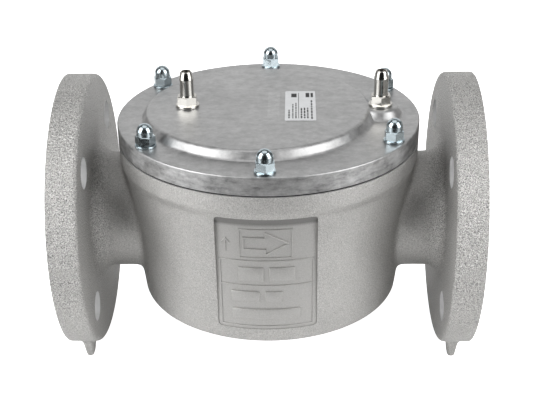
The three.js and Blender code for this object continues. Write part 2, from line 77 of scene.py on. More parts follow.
def node_middle(node):
    low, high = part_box(node)
    return (low + high) / 2


PIPE_Z = opening_middle("inlet_bore").z
BODY_LOW, BODY_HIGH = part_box("filter_body")
COVER_LOW, COVER_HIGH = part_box("cover")
GASKET_LOW, GASKET_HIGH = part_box("cover_gasket")
LABEL_LOW, LABEL_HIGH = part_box("name_label")
CAP_LOW, CAP_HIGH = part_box("cartridge_cap")
BASE_LOW, BASE_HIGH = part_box("cartridge_base")
FLEECE_LOW, FLEECE_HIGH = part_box("cartridge_fleece")
FACE_X = BODY_HIGH.x
COLLAR_RADIUS = COVER_HIGH.y
BODY_TOP = GASKET_LOW.z - 0.05 * MM
CARTRIDGE_X = node_middle("cartridge_cap").x
COUNT = 6
SIDES = ("inlet", "outlet")
STUD_SPOTS = [node_middle(f"stud_{number}") for number in range(1, COUNT + 1)]
NIPPLE_X = {side: node_middle(f"test_nipple_{side}").x for side in SIDES}

# ------------------------------------------------------------------ driving sizes

FLANGE_RADIUS = 82.5 * MM
FLANGE_THICKNESS = 17.5 * MM
BOLT_CIRCLE = 62.5 * MM
BOLT_HOLE_RADIUS = 9 * MM
BORE_RADIUS = 26 * MM
NECK_RADIUS = 35 * MM
CUP_BOTTOM = PIPE_Z - 48 * MM
CUP_RADIUS_BOTTOM = 79 * MM
CUP_RADIUS_TOP = 86.5 * MM
COLLAR_BOTTOM = PIPE_Z + 37.5 * MM
PANEL_HALF = 28.3 * MM
PANEL_LOW = PIPE_Z - 38 * MM
PANEL_HIGH = PIPE_Z + 36.3 * MM
PANEL_ROOF = PIPE_Z + 31.5 * MM
PANEL_RADIUS_LOW = 79.2 * MM
PANEL_RADIUS_HIGH = 84 * MM
CHAMBER_RADIUS = 72 * MM
CHAMBER_FLOOR = PIPE_Z - 41 * MM
DECK_TOP = PIPE_Z - 14 * MM
DECK_THICKNESS = 5 * MM
DECK_LEFT = -60 * MM
PARTITION_LEFT = 54 * MM
PARTITION_THICKNESS = 5 * MM
SEAT_RADIUS = 30 * MM
STUD_RADIUS = 2.9 * MM
STUD_HOLE_FLOOR = PIPE_Z + 37 * MM
THREAD_PITCH = 1.0 * MM
RIM_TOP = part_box("washer_1")[0].z - 0.05 * MM
PLATEAU_RADIUS = 65.5 * MM
PLATEAU_SLOPE = 2.0 * MM
BOSS_RADIUS = 10 * MM
TAP_RADIUS = 5.15 * MM


class FilterSizes(bpy.types.PropertyGroup):
    """Sizes that a user may want to change."""

    cast_fillet: bpy.props.IntProperty(
        name="Casting fillet",
        description="Rounds of smoothing where the necks grow out of the cup",
        default=46,
        min=0,
    )
    mark_height: bpy.props.FloatProperty(
        name="Mark height",
        description="How far the raised marks stand out of the panel",
        default=0.9 * MM,
        subtype="DISTANCE",
        unit="LENGTH",
    )
    dome_radius: bpy.props.FloatProperty(
        name="Cap nut dome",
        description="Radius of a cap nut's dome",
        default=4.65 * MM,
        subtype="DISTANCE",
        unit="LENGTH",
    )


def linear(hex_colour):
    """An sRGB hex colour as linear red, green, blue and alpha."""
    channels = [int(hex_colour[start:start + 2], 16) / 255 for start in (1, 3, 5)]
    return [c / 12.92 if c <= 0.04045 else ((c + 0.055) / 1.055) ** 2.4 for c in channels] + [1.0]


class FilterColours(bpy.types.PropertyGroup):
    """Base colours that a user may want to change."""

    casting: bpy.props.FloatVectorProperty(
        name="Sand-cast aluminium",
        description="Colour of the shot-blasted housing",
        default=linear("#bdbcba"),
        size=4,
        subtype="COLOR",
    )
    cover: bpy.props.FloatVectorProperty(
        name="Die-cast aluminium",
        description="Colour of the cover's casting skin",
        default=linear("#b5b5b5"),
        size=4,
        subtype="COLOR",
    )
    zinc: bpy.props.FloatVectorProperty(
        name="Zinc plate",
        description="Colour of the plated nuts, washers and studs",
        default=linear("#bcc8cd"),
        size=4,
        subtype="COLOR",
    )


# ------------------------------------------------------------------ mesh helpers


def arc(centre_radius, centre_height, radius, start, end, steps=8):
    """Points of (radius, height) round an arc, between two angles in degrees."""
    points = []
    for step in range(steps + 1):
        angle = math.radians(start + (end - start) * step / steps)
        across, up = radius * math.cos(angle), radius * math.sin(angle)
        points.append((centre_radius + across, centre_height + up))
    return points


def to_object(mesh_tool, name):
    """Closes a bmesh into a new object in the scene."""
    mesh = bpy.data.meshes.new(name)
    mesh_tool.to_mesh(mesh)
    mesh_tool.free()
    piece = bpy.data.objects.new(name, mesh)
    bpy.context.scene.collection.objects.link(piece)
    return piece


def spun(name, profile, axis="Z", centre=(0, 0, 0), steps=144):
    """Turns an outline of (radius, height) points about Z, or about X."""
    shape = bmesh.new()
    corners = [shape.verts.new((radius, 0, height)) for radius, height in profile]
    sides = [shape.edges.new(pair) for pair in zip(corners, corners[1:])]
    if profile[0][0] > 0:
        sides.append(shape.edges.new((corners[-1], corners[0])))
    bmesh.ops.spin(
        shape,
        geom=corners + sides,
        cent=(0, 0, 0),
        axis=(0, 0, 1),
        angle=math.tau,
        steps=steps,
        use_merge=True,
    )
    bmesh.ops.remove_doubles(shape, verts=shape.verts, dist=1e-6)
    if axis == "X":
        lying = Matrix.Rotation(math.pi / 2, 3, "Y")
        bmesh.ops.rotate(shape, verts=shape.verts, cent=(0, 0, 0), matrix=lying)
    bmesh.ops.translate(shape, verts=shape.verts, vec=centre)
    bmesh.ops.recalc_face_normals(shape, faces=shape.faces)
    return to_object(shape, name)


def block(name, low, high, bevel=0.0):
    """A box between two corners, with its edges rounded by bevel."""
    low, high = Vector(low), Vector(high)
    shape = bmesh.new()
    bmesh.ops.create_cube(shape, size=1)
    bmesh.ops.scale(shape, verts=shape.verts, vec=high - low)
    bmesh.ops.translate(shape, verts=shape.verts, vec=(low + high) / 2)
    if bevel:
        bmesh.ops.bevel(
            shape, geom=shape.edges, offset=bevel, segments=3, profile=0.5, affect="EDGES", material=-1
        )
    return to_object(shape, name)


def rod(name, radius, start, end, steps=64):
    """A round rod from one point to another."""
    start, end = Vector(start), Vector(end)
    shape = bmesh.new()
    bmesh.ops.create_cone(
        shape, cap_ends=True, segments=steps, radius1=radius, radius2=radius, depth=(end - start).length
    )
    turn = (end - start).to_track_quat("Z", "Y").to_matrix()
    bmesh.ops.rotate(shape, verts=shape.verts, cent=(0, 0, 0), matrix=turn)
    bmesh.ops.translate(shape, verts=shape.verts, vec=(start + end) / 2)
    return to_object(shape, name)


def hexagon_bar(name, across_flats, bottom, top, spot, turn=0.0):
    """A hexagonal bar standing at a spot."""
    shape = bmesh.new()
    bmesh.ops.create_cone(
        shape,
        cap_ends=True,
        segments=6,
        radius1=across_flats / math.sqrt(3),
        radius2=across_flats / math.sqrt(3),
        depth=top - bottom,
    )
    bmesh.ops.rotate(shape, verts=shape.verts, cent=(0, 0, 0), matrix=Matrix.Rotation(turn, 3, "Z"))
    bmesh.ops.translate(shape, verts=shape.verts, vec=(spot[0], spot[1], (bottom + top) / 2))
    return to_object(shape, name)


def bake_modifiers(piece):
    """Turns what the piece's modifiers make into its own mesh."""
    graph = bpy.context.evaluated_depsgraph_get()
    graph.update()
    finished = bpy.data.meshes.new_from_object(piece.evaluated_get(graph))
    piece.modifiers.clear()
    piece.data = finished


def combine(piece, tools, operation):
    """Joins tools to a piece, or cuts or keeps what they share, and uses them up."""
    for tool in tools:
        modifier = piece.modifiers.new(operation.lower(), "BOOLEAN")
        modifier.operation = operation
        modifier.solver = "MANIFOLD"
        modifier.object = tool
    bake_modifiers(piece)
    for tool in tools:
        bpy.data.objects.remove(tool)
    if not piece.data.polygons:
        raise RuntimeError(f"{piece.name} came out empty from {operation}")


def shade(piece, sharp_degrees=32, weighted=True):
    """Shades a piece smooth up to an edge angle, with flats kept flat."""
    piece.data.shade_smooth()
    piece.data.set_sharp_from_angle(angle=math.radians(sharp_degrees))
    if weighted:
        modifier = piece.modifiers.new("flat faces stay flat", "WEIGHTED_NORMAL")
        modifier.keep_sharp = True


def round_edges(piece, width, segments=3, angle=35):
    """Breaks a piece's sharp edges with a small radius."""
    modifier = piece.modifiers.new("broken edges", "BEVEL")
    modifier.width = width
    modifier.segments = segments
    modifier.limit_method = "ANGLE"
    modifier.angle_limit = math.radians(angle)
    modifier.use_clamp_overlap = True
    bake_modifiers(piece)


def fit(piece, body, slot, materials, *nodes):
    """Gives a piece its materials and its body, and hides the nodes that it stands for; the finish slot is
    not used.
    """
    piece.data.materials.clear()
    for material in materials:
        piece.data.materials.append(material)
    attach(piece, body)
    if nodes:
        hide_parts(*nodes)
    return piece


# ------------------------------------------------------------------ materials


def add_node(tree, kind, inputs=None, **settings):
    """Adds a shader node; an input may be a value, a socket, or a node, which gives its first output."""
    made = tree.nodes.new(kind)
    for name, value in settings.items():
        setattr(made, name, value)
    for socket, value in (inputs or {}).items():
        if isinstance(value, bpy.types.Node):
            value = value.outputs[0]
        if isinstance(value, bpy.types.NodeSocket):
            tree.links.new(value, made.inputs[socket])
        else:
            made.inputs[socket].default_value = value
    return made


def start_material(name):
    """A new material with an empty tree, its output and its Object coordinates."""
    found = bpy.data.materials.new(name)
    found.use_nodes = True
    tree = found.node_tree
    tree.nodes.clear()
    place = add_node(tree, "ShaderNodeTexCoord").outputs["Object"]
    return found, tree, place


def shot_blasted_casting(colours):
    """Shot-blasted sand-cast aluminium: light grey with fine facets that are coarser on the flanges."""
    material, tree, place = start_material("shot_blasted_cast_aluminium")
    grit_size, pit_size, gloss_size, patch_size = 0.5 * MM, 1.4 * MM, 0.9 * MM, 34 * MM
    grit = add_node(
        tree,
        "ShaderNodeTexNoise",
        {"Vector": place, "Scale": 1 / grit_size, "Detail": 3.0, "Roughness": 0.65},
    )
    pits = add_node(tree, "ShaderNodeTexVoronoi", {"Vector": place, "Scale": 1 / pit_size}, feature="F1")
    axes = add_node(tree, "ShaderNodeSeparateXYZ", {"Vector": place}).outputs
    reach = add_node(tree, "ShaderNodeMath", {0: axes["X"]}, operation="ABSOLUTE")
    on_flange = add_node(
        tree,
        "ShaderNodeMapRange",
        {"Value": reach, "From Min": 90 * MM, "From Max": 102 * MM, "To Min": 0.0, "To Max": 1.0},
    )
    upper = add_node(
        tree,
        "ShaderNodeMapRange",
        {
            "Value": axes["Z"],
            "From Min": PIPE_Z - 60 * MM,
            "From Max": PIPE_Z - 10 * MM,
            "To Min": 0.2,
            "To Max": 1.0,
        },
    )
    coarseness = add_node(tree, "ShaderNodeMath", {0: on_flange, 1: upper}, operation="MULTIPLY")
    contrast = add_node(
        tree,
        "ShaderNodeMapRange",
        {"Value": coarseness, "From Min": 0.0, "From Max": 1.0, "To Min": 1.2, "To Max": 3.2},
    )
    facets = add_node(
        tree,
        "ShaderNodeMapRange",
        {"Value": grit, "From Min": 0.34, "From Max": 0.66, "To Min": -0.24, "To Max": 0.22},
    )
    swing = add_node(tree, "ShaderNodeMath", {0: facets, 1: contrast}, operation="MULTIPLY")
    blotches = add_node(
        tree, "ShaderNodeTexNoise", {"Vector": place, "Scale": 1 / patch_size, "Detail": 3.0}
    )
    patches = add_node(
        tree,
        "ShaderNodeMapRange",
        {"Value": blotches, "From Min": 0.3, "From Max": 0.7, "To Min": 0.95, "To Max": 1.04},
    )
    tone = add_node(tree, "ShaderNodeMath", {0: swing, 1: patches}, operation="ADD")
    colour = add_node(
        tree, "ShaderNodeVectorMath", {0: colours.casting[:3], "Scale": tone}, operation="SCALE"
    )
    grit_and_pits = add_node(tree, "ShaderNodeMath", {0: grit, 1: pits}, operation="ADD")
    relief = add_node(tree, "ShaderNodeMath", {0: grit_and_pits, 1: contrast}, operation="MULTIPLY")
    bump = add_node(
        tree, "ShaderNodeBump", {"Height": relief, "Strength": 0.7, "Distance": 0.2 * MM}
    )
    glints = add_node(tree, "ShaderNodeTexNoise", {"Vector": place, "Scale": 1 / gloss_size})
    rough = add_node(
        tree,
        "ShaderNodeMapRange",
        {"Value": glints, "From Min": 0.35, "From Max": 0.65, "To Min": 0.45, "To Max": 0.66},
    )
    surface = add_node(
        tree,
        "ShaderNodeBsdfPrincipled",
        {"Base Color": colour, "Metallic": 0.9, "Roughness": rough, "Normal": bump},
    )
    add_node(tree, "ShaderNodeOutputMaterial", {"Surface": surface})
    return material


def fine_cast_panel_with_painted_shade(colours):
    """The finer skin of the panel, duller than the wall, with painted shade: darker than the wall, darker
    towards its top, and darkest in the cove under its roof.
    """
    material, tree, place = start_material("fine_cast_aluminium_panel_painted_shade")
    grit_size = 0.6 * MM
    grit = add_node(
        tree,
        "ShaderNodeTexNoise",
        {"Vector": place, "Scale": 1 / grit_size, "Detail": 4.0, "Roughness": 0.6},
    )
    upright = add_node(tree, "ShaderNodeSeparateXYZ", {"Vector": place}).outputs["Z"]
    # Painted shade: the colour is darkened in the cove under the panel's roof, where the recess lies in
    # shade.
    cove = add_node(
        tree,
        "ShaderNodeMapRange",
        {
            "Value": upright,
            "From Min": PANEL_ROOF - 1.5 * MM,
            "From Max": PANEL_ROOF + 0.5 * MM,
            "To Min": 1.0,
            "To Max": 0.5,
        },
    )
    # Painted shade: the panel's colour is made darker than the wall's and darkens towards its top, as the
    # light falls on it.
    height = add_node(
        tree,
        "ShaderNodeMapRange",
        {"Value": upright, "From Min": PANEL_LOW, "From Max": PANEL_ROOF, "To Min": 0.97, "To Max": 0.87},
    )
    speckle = add_node(
        tree,
        "ShaderNodeMapRange",
        {"Value": grit, "From Min": 0.3, "From Max": 0.7, "To Min": 0.86, "To Max": 1.14},
    )
    shading = add_node(tree, "ShaderNodeMath", {0: cove, 1: height}, operation="MULTIPLY")
    tone = add_node(tree, "ShaderNodeMath", {0: speckle, 1: shading}, operation="MULTIPLY")
    colour = add_node(
        tree, "ShaderNodeVectorMath", {0: colours.casting[:3], "Scale": tone}, operation="SCALE"
    )
    bump = add_node(tree, "ShaderNodeBump", {"Height": grit, "Strength": 0.5, "Distance": 0.12 * MM})
    rough = add_node(
        tree,
        "ShaderNodeMapRange",
        {"Value": grit, "From Min": 0.3, "From Max": 0.7, "To Min": 0.48, "To Max": 0.6},
    )
    surface = add_node(
        tree,
        "ShaderNodeBsdfPrincipled",
        {"Base Color": colour, "Metallic": 0.9, "Roughness": rough, "Normal": bump},
    )
    add_node(tree, "ShaderNodeOutputMaterial", {"Surface": surface})
    return material


def machined_aluminium(axis):
    """Lathe-turned cast aluminium: bright, with fine rings round the turning axis."""
    material, tree, place = start_material("turned_cast_aluminium_" + axis.lower())
    ring_spacing, cloud_size = 3.2 * MM, 12 * MM
    shift = (0, 0, -PIPE_Z) if axis == "X" else (0, 0, 0)
    centred = add_node(tree, "ShaderNodeMapping", {"Vector": place, "Location": shift})
    rings = add_node(
        tree,
        "ShaderNodeTexWave",
        {"Vector": centred, "Scale": 1 / ring_spacing, "Distortion": 0.4},
        wave_type="RINGS",
        rings_direction=axis,
    ).outputs["Fac"]
    bump = add_node(tree, "ShaderNodeBump", {"Height": rings, "Strength": 0.35, "Distance": 0.05 * MM})
    clouds = add_node(
        tree, "ShaderNodeTexNoise", {"Vector": place, "Scale": 1 / cloud_size, "Detail": 4.0}
    )
    tone = add_node(
        tree,
        "ShaderNodeMapRange",
        {"Value": clouds, "From Min": 0.3, "From Max": 0.7, "To Min": 0.66, "To Max": 0.76},
    )
    colour = add_node(
        tree, "ShaderNodeVectorMath", {0: linear("#ffffff")[:3], "Scale": tone}, operation="SCALE"
    )
    surface = add_node(
        tree,
        "ShaderNodeBsdfPrincipled",
        {"Base Color": colour, "Metallic": 0.6, "Roughness": 0.36, "Normal": bump},
    )
    add_node(tree, "ShaderNodeOutputMaterial", {"Surface": surface})
    return material


def die_cast_skin(colours):
    """Die-cast aluminium: grey skin with cloudy flow streaks, a rubbed patch on top and a stained edge."""
    material, tree, place = start_material("die_cast_aluminium_skin")
    streak_size, cloud_size, speck_size, smudge_size = 5 * MM, 38 * MM, 0.7 * MM, 3 * MM
    patch_middle, patch_half = (3.3 * MM, 1.7 * MM), (3.5 * MM, 19.7 * MM)
    stretched = add_node(tree, "ShaderNodeMapping", {"Vector": place, "Scale": (0.8, 1.0, 1.0)})
    streaks = add_node(
        tree,
        "ShaderNodeTexNoise",
        {"Vector": stretched, "Scale": 1 / streak_size, "Detail": 8.0, "Roughness": 0.75},
    )
    clouds = add_node(
        tree, "ShaderNodeTexNoise", {"Vector": place, "Scale": 1 / cloud_size, "Detail": 4.0}
    )
    specks = add_node(tree, "ShaderNodeTexNoise", {"Vector": place, "Scale": 1 / speck_size})
    axes = add_node(tree, "ShaderNodeSeparateXYZ", {"Vector": place}).outputs
    patch_sides = [
        add_node(tree, "ShaderNodeMath", {0: axes[name], 1: middle, 2: half}, operation="COMPARE")
        for name, middle, half in zip("XY", patch_middle, patch_half)
    ]
    rubbed = add_node(tree, "ShaderNodeMath", dict(enumerate(patch_sides)), operation="MULTIPLY")
    rubbed_shine = add_node(
        tree,
        "ShaderNodeMapRange",
        {"Value": specks, "From Min": 0.4, "From Max": 0.6, "To Min": 0.04, "To Max": 0.16},
    )
    wear = add_node(tree, "ShaderNodeMath", {0: rubbed, 1: rubbed_shine}, operation="MULTIPLY")
    on_side = add_node(
        tree,
        "ShaderNodeMapRange",
        {
            "Value": axes["Z"],
            "From Min": RIM_TOP - 1.2 * MM,
            "From Max": RIM_TOP - 0.4 * MM,
            "To Min": 1.0,
            "To Max": 0.0,
        },
    )
    flattened = add_node(tree, "ShaderNodeMapping", {"Vector": place, "Scale": (0.3, 0.3, 1.3)})
    marks = add_node(
        tree,
        "ShaderNodeTexNoise",
        {"Vector": flattened, "Scale": 1 / smudge_size, "Detail": 6.0, "Roughness": 0.75},
    )
    smudges = add_node(
        tree,
        "ShaderNodeMapRange",
        {"Value": marks, "From Min": 0.42, "From Max": 0.68, "To Min": 0.0, "To Max": 0.42},
    )
    stains = add_node(tree, "ShaderNodeMath", {0: smudges, 1: on_side}, operation="MULTIPLY")
    streaky = add_node(
        tree,
        "ShaderNodeMapRange",
        {"Value": streaks, "From Min": 0.25, "From Max": 0.75, "To Min": 0.66, "To Max": 1.34},
    )
    cloudy = add_node(
        tree,
        "ShaderNodeMapRange",
        {"Value": clouds, "From Min": 0.3, "From Max": 0.7, "To Min": 0.93, "To Max": 1.07},
    )
    tone = add_node(tree, "ShaderNodeMath", {0: streaky, 1: cloudy}, operation="MULTIPLY")
    worn = add_node(tree, "ShaderNodeMath", {0: tone, 1: wear}, operation="ADD")
    stained = add_node(tree, "ShaderNodeMath", {0: worn, 1: stains}, operation="SUBTRACT")
    colour = add_node(
        tree, "ShaderNodeVectorMath", {0: colours.cover[:3], "Scale": stained}, operation="SCALE"
    )
    bump = add_node(
        tree, "ShaderNodeBump", {"Height": streaks, "Strength": 0.22, "Distance": 0.08 * MM}
    )
    rough = add_node(
        tree,
        "ShaderNodeMapRange",
        {"Value": streaks, "From Min": 0.3, "From Max": 0.7, "To Min": 0.34, "To Max": 0.5},
    )
    surface = add_node(
        tree,
        "ShaderNodeBsdfPrincipled",
        {"Base Color": colour, "Metallic": 0.9, "Roughness": rough, "Normal": bump},
    )
    add_node(tree, "ShaderNodeOutputMaterial", {"Surface": surface})
    return material


def zinc_plate(colours):
    """Bright blue-passivated zinc on steel: mirror-like, cool, a little wavy."""
    material, tree, place = start_material("blue_zinc_plated_steel")
    wave_size, mottle_size = 1.4 * MM, 2.2 * MM
    waves = add_node(tree, "ShaderNodeTexNoise", {"Vector": place, "Scale": 1 / wave_size})
    bump = add_node(tree, "ShaderNodeBump", {"Height": waves, "Strength": 0.16, "Distance": 0.04 * MM})
    mottle = add_node(tree, "ShaderNodeTexNoise", {"Vector": place, "Scale": 1 / mottle_size})
    rough = add_node(
        tree,
        "ShaderNodeMapRange",
        {"Value": mottle, "From Min": 0.3, "From Max": 0.7, "To Min": 0.14, "To Max": 0.25},
    )
    surface = add_node(
        tree,
        "ShaderNodeBsdfPrincipled",
        {"Base Color": list(colours.zinc), "Metallic": 1.0, "Roughness": rough, "Normal": bump},
    )
    add_node(tree, "ShaderNodeOutputMaterial", {"Surface": surface})
    return material


def nickel_plate():
    """Bright nickel on turned brass: a neutral mirror with faint turning marks."""
    material, tree, place = start_material("bright_nickel_plated_brass")
    turning_pitch, mottle_size = 1.6 * MM, 2.0 * MM
    turning = add_node(
        tree,
        "ShaderNodeTexWave",
        {"Vector": place, "Scale": 1 / turning_pitch, "Distortion": 0.3},
        bands_direction="Z",
    ).outputs["Fac"]
    bump = add_node(
        tree, "ShaderNodeBump", {"Height": turning, "Strength": 0.12, "Distance": 0.02 * MM}
    )
    mottle = add_node(tree, "ShaderNodeTexNoise", {"Vector": place, "Scale": 1 / mottle_size})
    rough = add_node(
        tree,
        "ShaderNodeMapRange",
        {"Value": mottle, "From Min": 0.3, "From Max": 0.7, "To Min": 0.1, "To Max": 0.2},
    )
    surface = add_node(
        tree,
        "ShaderNodeBsdfPrincipled",
        {"Base Color": linear("#c9c7c2"), "Metallic": 1.0, "Roughness": rough, "Normal": bump},
    )
    add_node(tree, "ShaderNodeOutputMaterial", {"Surface": surface})
    return material


def plain_finish(name, low, high, size, rough_low, rough_high, metallic=0.0, bump_height=0.02 * MM):
    """A simple real finish: two close shades mottled at size, with matching roughness and fine relief."""
    material, tree, place = start_material(name)
    ramp_start, ramp_end = 0.32, 0.68
    mottle = add_node(
        tree,
        "ShaderNodeTexNoise",
        {"Vector": place, "Scale": 1 / size, "Detail": 4.0, "Roughness": 0.6},
    )
    shades = add_node(tree, "ShaderNodeValToRGB", {"Fac": mottle})
    stops = shades.color_ramp.elements
    for stop, position, shade_hex in zip(stops, (ramp_start, ramp_end), (low, high)):
        stop.position = position
        stop.color = linear(shade_hex)
    bump = add_node(
        tree, "ShaderNodeBump", {"Height": mottle, "Strength": 0.4, "Distance": bump_height}
    )
    rough = add_node(
        tree,
        "ShaderNodeMapRange",
        {
            "Value": mottle,
            "From Min": 0.3,
            "From Max": 0.7,
            "To Min": rough_low,
            "To Max": rough_high,
        },
    )
    surface = add_node(
        tree,
        "ShaderNodeBsdfPrincipled",
        {"Base Color": shades, "Metallic": metallic, "Roughness": rough, "Normal": bump},
    )
    add_node(tree, "ShaderNodeOutputMaterial", {"Surface": surface})
    return material


def nitrile_rubber():
    """Moulded black nitrile rubber: matt and slightly dusty."""
    return plain_finish("moulded_nitrile_rubber", "#131314", "#232325", 1.5 * MM, 0.6, 0.85)


def turned_screw_steel():
    """Turned steel, oiled and dull: the dark slotted screw in a nipple."""
    return plain_finish("oiled_turned_steel", "#4a4846", "#75726e", 0.8 * MM, 0.25, 0.45, 1.0)


def galvanised_sheet():
    """Hot-dip galvanised sheet: grey spangle in patches of a few millimetres."""
    return plain_finish("galvanised_sheet_steel", "#8f9497", "#b9bec0", 5 * MM, 0.28, 0.5, 1.0)


def label_film():
    """Silver polyester film: even satin grey with a soft sheen."""
    return plain_finish(
        "silver_polyester_film", "#d0d2d3", "#dcdddf", 6 * MM, 0.35, 0.45, 0.25, 0.004 * MM
    )


def printing_ink():
    """Thermal-transfer resin ink: flat near-black."""
    return plain_finish("printed_resin_ink", "#161617", "#28282a", 0.5 * MM, 0.5, 0.65)


def polyester_fleece():
    """Needled polyester fleece: off-white and fuzzy, with matted fibres that break up the light."""
    material, tree, place = start_material("needled_polyester_fleece")
    fibre_size = 0.9 * MM
    fibres = add_node(tree, "ShaderNodeMapping", {"Vector": place, "Scale": (1.0, 1.0, 0.3)})
    mat = add_node(
        tree,
        "ShaderNodeTexNoise",
        {"Vector": fibres, "Scale": 1 / fibre_size, "Detail": 6.0, "Roughness": 0.75},
    )
    shades = add_node(tree, "ShaderNodeValToRGB", {"Fac": mat})
    shades.color_ramp.elements[0].color = linear("#cfcdc4")
    shades.color_ramp.elements[1].color = linear("#f6f5f0")
    bump = add_node(tree, "ShaderNodeBump", {"Height": mat, "Strength": 0.8, "Distance": 0.5 * MM})
    surface = add_node(
        tree,
        "ShaderNodeBsdfPrincipled",
        {"Base Color": shades, "Roughness": 0.95, "Sheen Weight": 0.35, "Normal": bump},
    )
    add_node(tree, "ShaderNodeOutputMaterial", {"Surface": surface})
    return material


def studio_paper(glow):
    """Seamless studio paper: white, matt and plain, and lit from behind by glow."""
    material, tree, _ = start_material("studio_paper")
    surface = add_node(
        tree,
        "ShaderNodeBsdfPrincipled",
        {
            "Base Color": linear("#fbfbfb"),
            "Roughness": 0.9,
            "Emission Color": linear("#ffffff"),
            "Emission Strength": glow,
        },
    )
    add_node(tree, "ShaderNodeOutputMaterial", {"Surface": surface})
    return material


MATERIALS = {}


def make_materials(colours):
    MATERIALS.update(
        casting=shot_blasted_casting(colours),
        panel=fine_cast_panel_with_painted_shade(colours),
        turned_face=machined_aluminium("X"),
        turned_top=machined_aluminium("Z"),
        cover=die_cast_skin(colours),
        zinc=zinc_plate(colours),
        nickel=nickel_plate(),
        rubber=nitrile_rubber(),
        screw=turned_screw_steel(),
        sheet=galvanised_sheet(),
        label=label_film(),
        ink=printing_ink(),
        fleece=polyester_fleece(),
    )


# ------------------------------------------------------------------ housing casting


def cup_radius(height):
    """The cup wall's outside radius at a height."""
    share = (height - CUP_BOTTOM) / (COLLAR_BOTTOM - CUP_BOTTOM)
    return CUP_RADIUS_BOTTOM + (CUP_RADIUS_TOP - CUP_RADIUS_BOTTOM) * share


def flanged_pipe():
    """Both flanges and the necks, turned about the pipe axis."""
    edge, fillet = 2.6 * MM, 9 * MM
    inner = FACE_X - FLANGE_THICKNESS
    beyond = FACE_X + 2 * MM
    half = [
        (0, beyond),
        (FLANGE_RADIUS, beyond),
        *arc(FLANGE_RADIUS - edge, inner + edge, edge, 0, -90),
        *arc(NECK_RADIUS + fillet, inner - fillet, fillet, 90, 180),
    ]
    upstream = [(radius, -station) for radius, station in half]
    return spun("housing_casting", upstream + half[::-1], axis="X", centre=(0, 0, PIPE_Z), steps=192)


def cup_outside():
    """The round cup with its soft step up to the collar."""
    edge, step = 3.5 * MM, 2.2 * MM
    above = BODY_TOP + 2 * MM
    return spun(
        "cup",
        [
            (0, CUP_BOTTOM),
            *arc(CUP_RADIUS_BOTTOM - edge, CUP_BOTTOM + edge, edge, -90, 0),
            (CUP_RADIUS_TOP, COLLAR_BOTTOM - step),
            (COLLAR_RADIUS, COLLAR_BOTTOM + step),
            (COLLAR_RADIUS, above),
            (0, above),
        ],
        steps=192,
    )


def foot(side, end):
    """One cast foot: a tapered lug that grows out of a flange's rim."""
    across, deep, low_across, low_deep, height = 8.5 * MM, 19 * MM, 4.6 * MM, 8.5 * MM, 22 * MM
    offset = 35 * MM
    shape = bmesh.new()
    bmesh.ops.create_cube(shape, size=1)
    bmesh.ops.scale(shape, verts=shape.verts, vec=(across, deep, height))
    tip = [vertex for vertex in shape.verts if vertex.co.z < 0]
    bmesh.ops.scale(shape, verts=tip, vec=(low_across / across, low_deep / deep, 1))
    bmesh.ops.bevel(
        shape, geom=shape.edges, offset=1.3 * MM, segments=3, profile=0.5, affect="EDGES", material=-1
    )
    middle = FACE_X - FLANGE_THICKNESS / 2
    bmesh.ops.translate(
        shape, verts=shape.verts, vec=(side * middle, end * offset, BODY_LOW.z + height / 2)
    )
    return to_object(shape, "foot")


def panel_radius(height):
    """The radius of the front panel's floor at a height."""
    share = (height - PANEL_LOW) / (PANEL_ROOF - PANEL_LOW)
    return PANEL_RADIUS_LOW + (PANEL_RADIUS_HIGH - PANEL_RADIUS_LOW) * share


def panel_core():
    """The solid that stays behind the panel: its floor, and the slope up to the collar."""
    low, high = CUP_BOTTOM - 5 * MM, PANEL_HIGH + 3 * MM
    return spun(
        "core",
        [
            (0, low),
            (panel_radius(low), low),
            (PANEL_RADIUS_HIGH, PANEL_ROOF),
            (cup_radius(PANEL_HIGH) + 0.3 * MM, PANEL_HIGH),
            (COLLAR_RADIUS + 3 * MM, high),
            (0, high),
        ],
        steps=192,
    )


def panel_recess():
    """What the front panel takes out of the cup wall."""
    low = (-PANEL_HALF, -COLLAR_RADIUS - 5 * MM, PANEL_LOW)
    high = (PANEL_HALF, -CUP_RADIUS_BOTTOM + 18 * MM, PANEL_HIGH)
    recess = block("recess", low, high, 2.4 * MM)
    combine(recess, [panel_core()], "DIFFERENCE")
    return recess


def soften_casting(piece):
    """Fuses the joined shapes into one skin and lets the corners run as cast metal does."""
    remesh = piece.modifiers.new("one skin", "REMESH")
    remesh.mode = "VOXEL"
    remesh.voxel_size = CASTING_VOXEL
    bake_modifiers(piece)
    root = piece.vertex_groups.new(name="neck_root")
    members = []
    for vertex in piece.data.vertices:
        x, y, z = vertex.co
        from_axis = math.hypot(y, z - PIPE_Z)
        from_wall = math.hypot(x, y) - cup_radius(z)
        if 31 * MM < from_axis < 49 * MM and -6 * MM < from_wall < 12 * MM and abs(x) > 60 * MM:
            members.append(vertex.index)
    root.add(members, 1.0, "REPLACE")
    blend = piece.modifiers.new("neck fillet", "SMOOTH")
    blend.factor = 0.5
    blend.iterations = bpy.context.scene.filter_sizes.cast_fillet
    blend.vertex_group = root.name
    soft = piece.modifiers.new("soft corners", "SMOOTH")
    soft.factor = 0.5
    soft.iterations = 3
    bake_modifiers(piece)
    triangles = sum(len(face.vertices) - 2 for face in piece.data.polygons)
    if triangles > CASTING_TRIANGLES:
        thin = piece.modifiers.new("fewer triangles", "DECIMATE")
        thin.ratio = CASTING_TRIANGLES / triangles
        bake_modifiers(piece)


def wedge(name, radius, low, high, left, right):
    """The part of a round space that lies between two planes across X."""
    space = spun(name, [(0, low), (radius, low), (radius, high), (0, high)], steps=128)
    side = 2 * radius
    cut = block("cut", (left, -side, low - MM), (right, side, high + MM))
    combine(space, [cut], "INTERSECT")
    return space


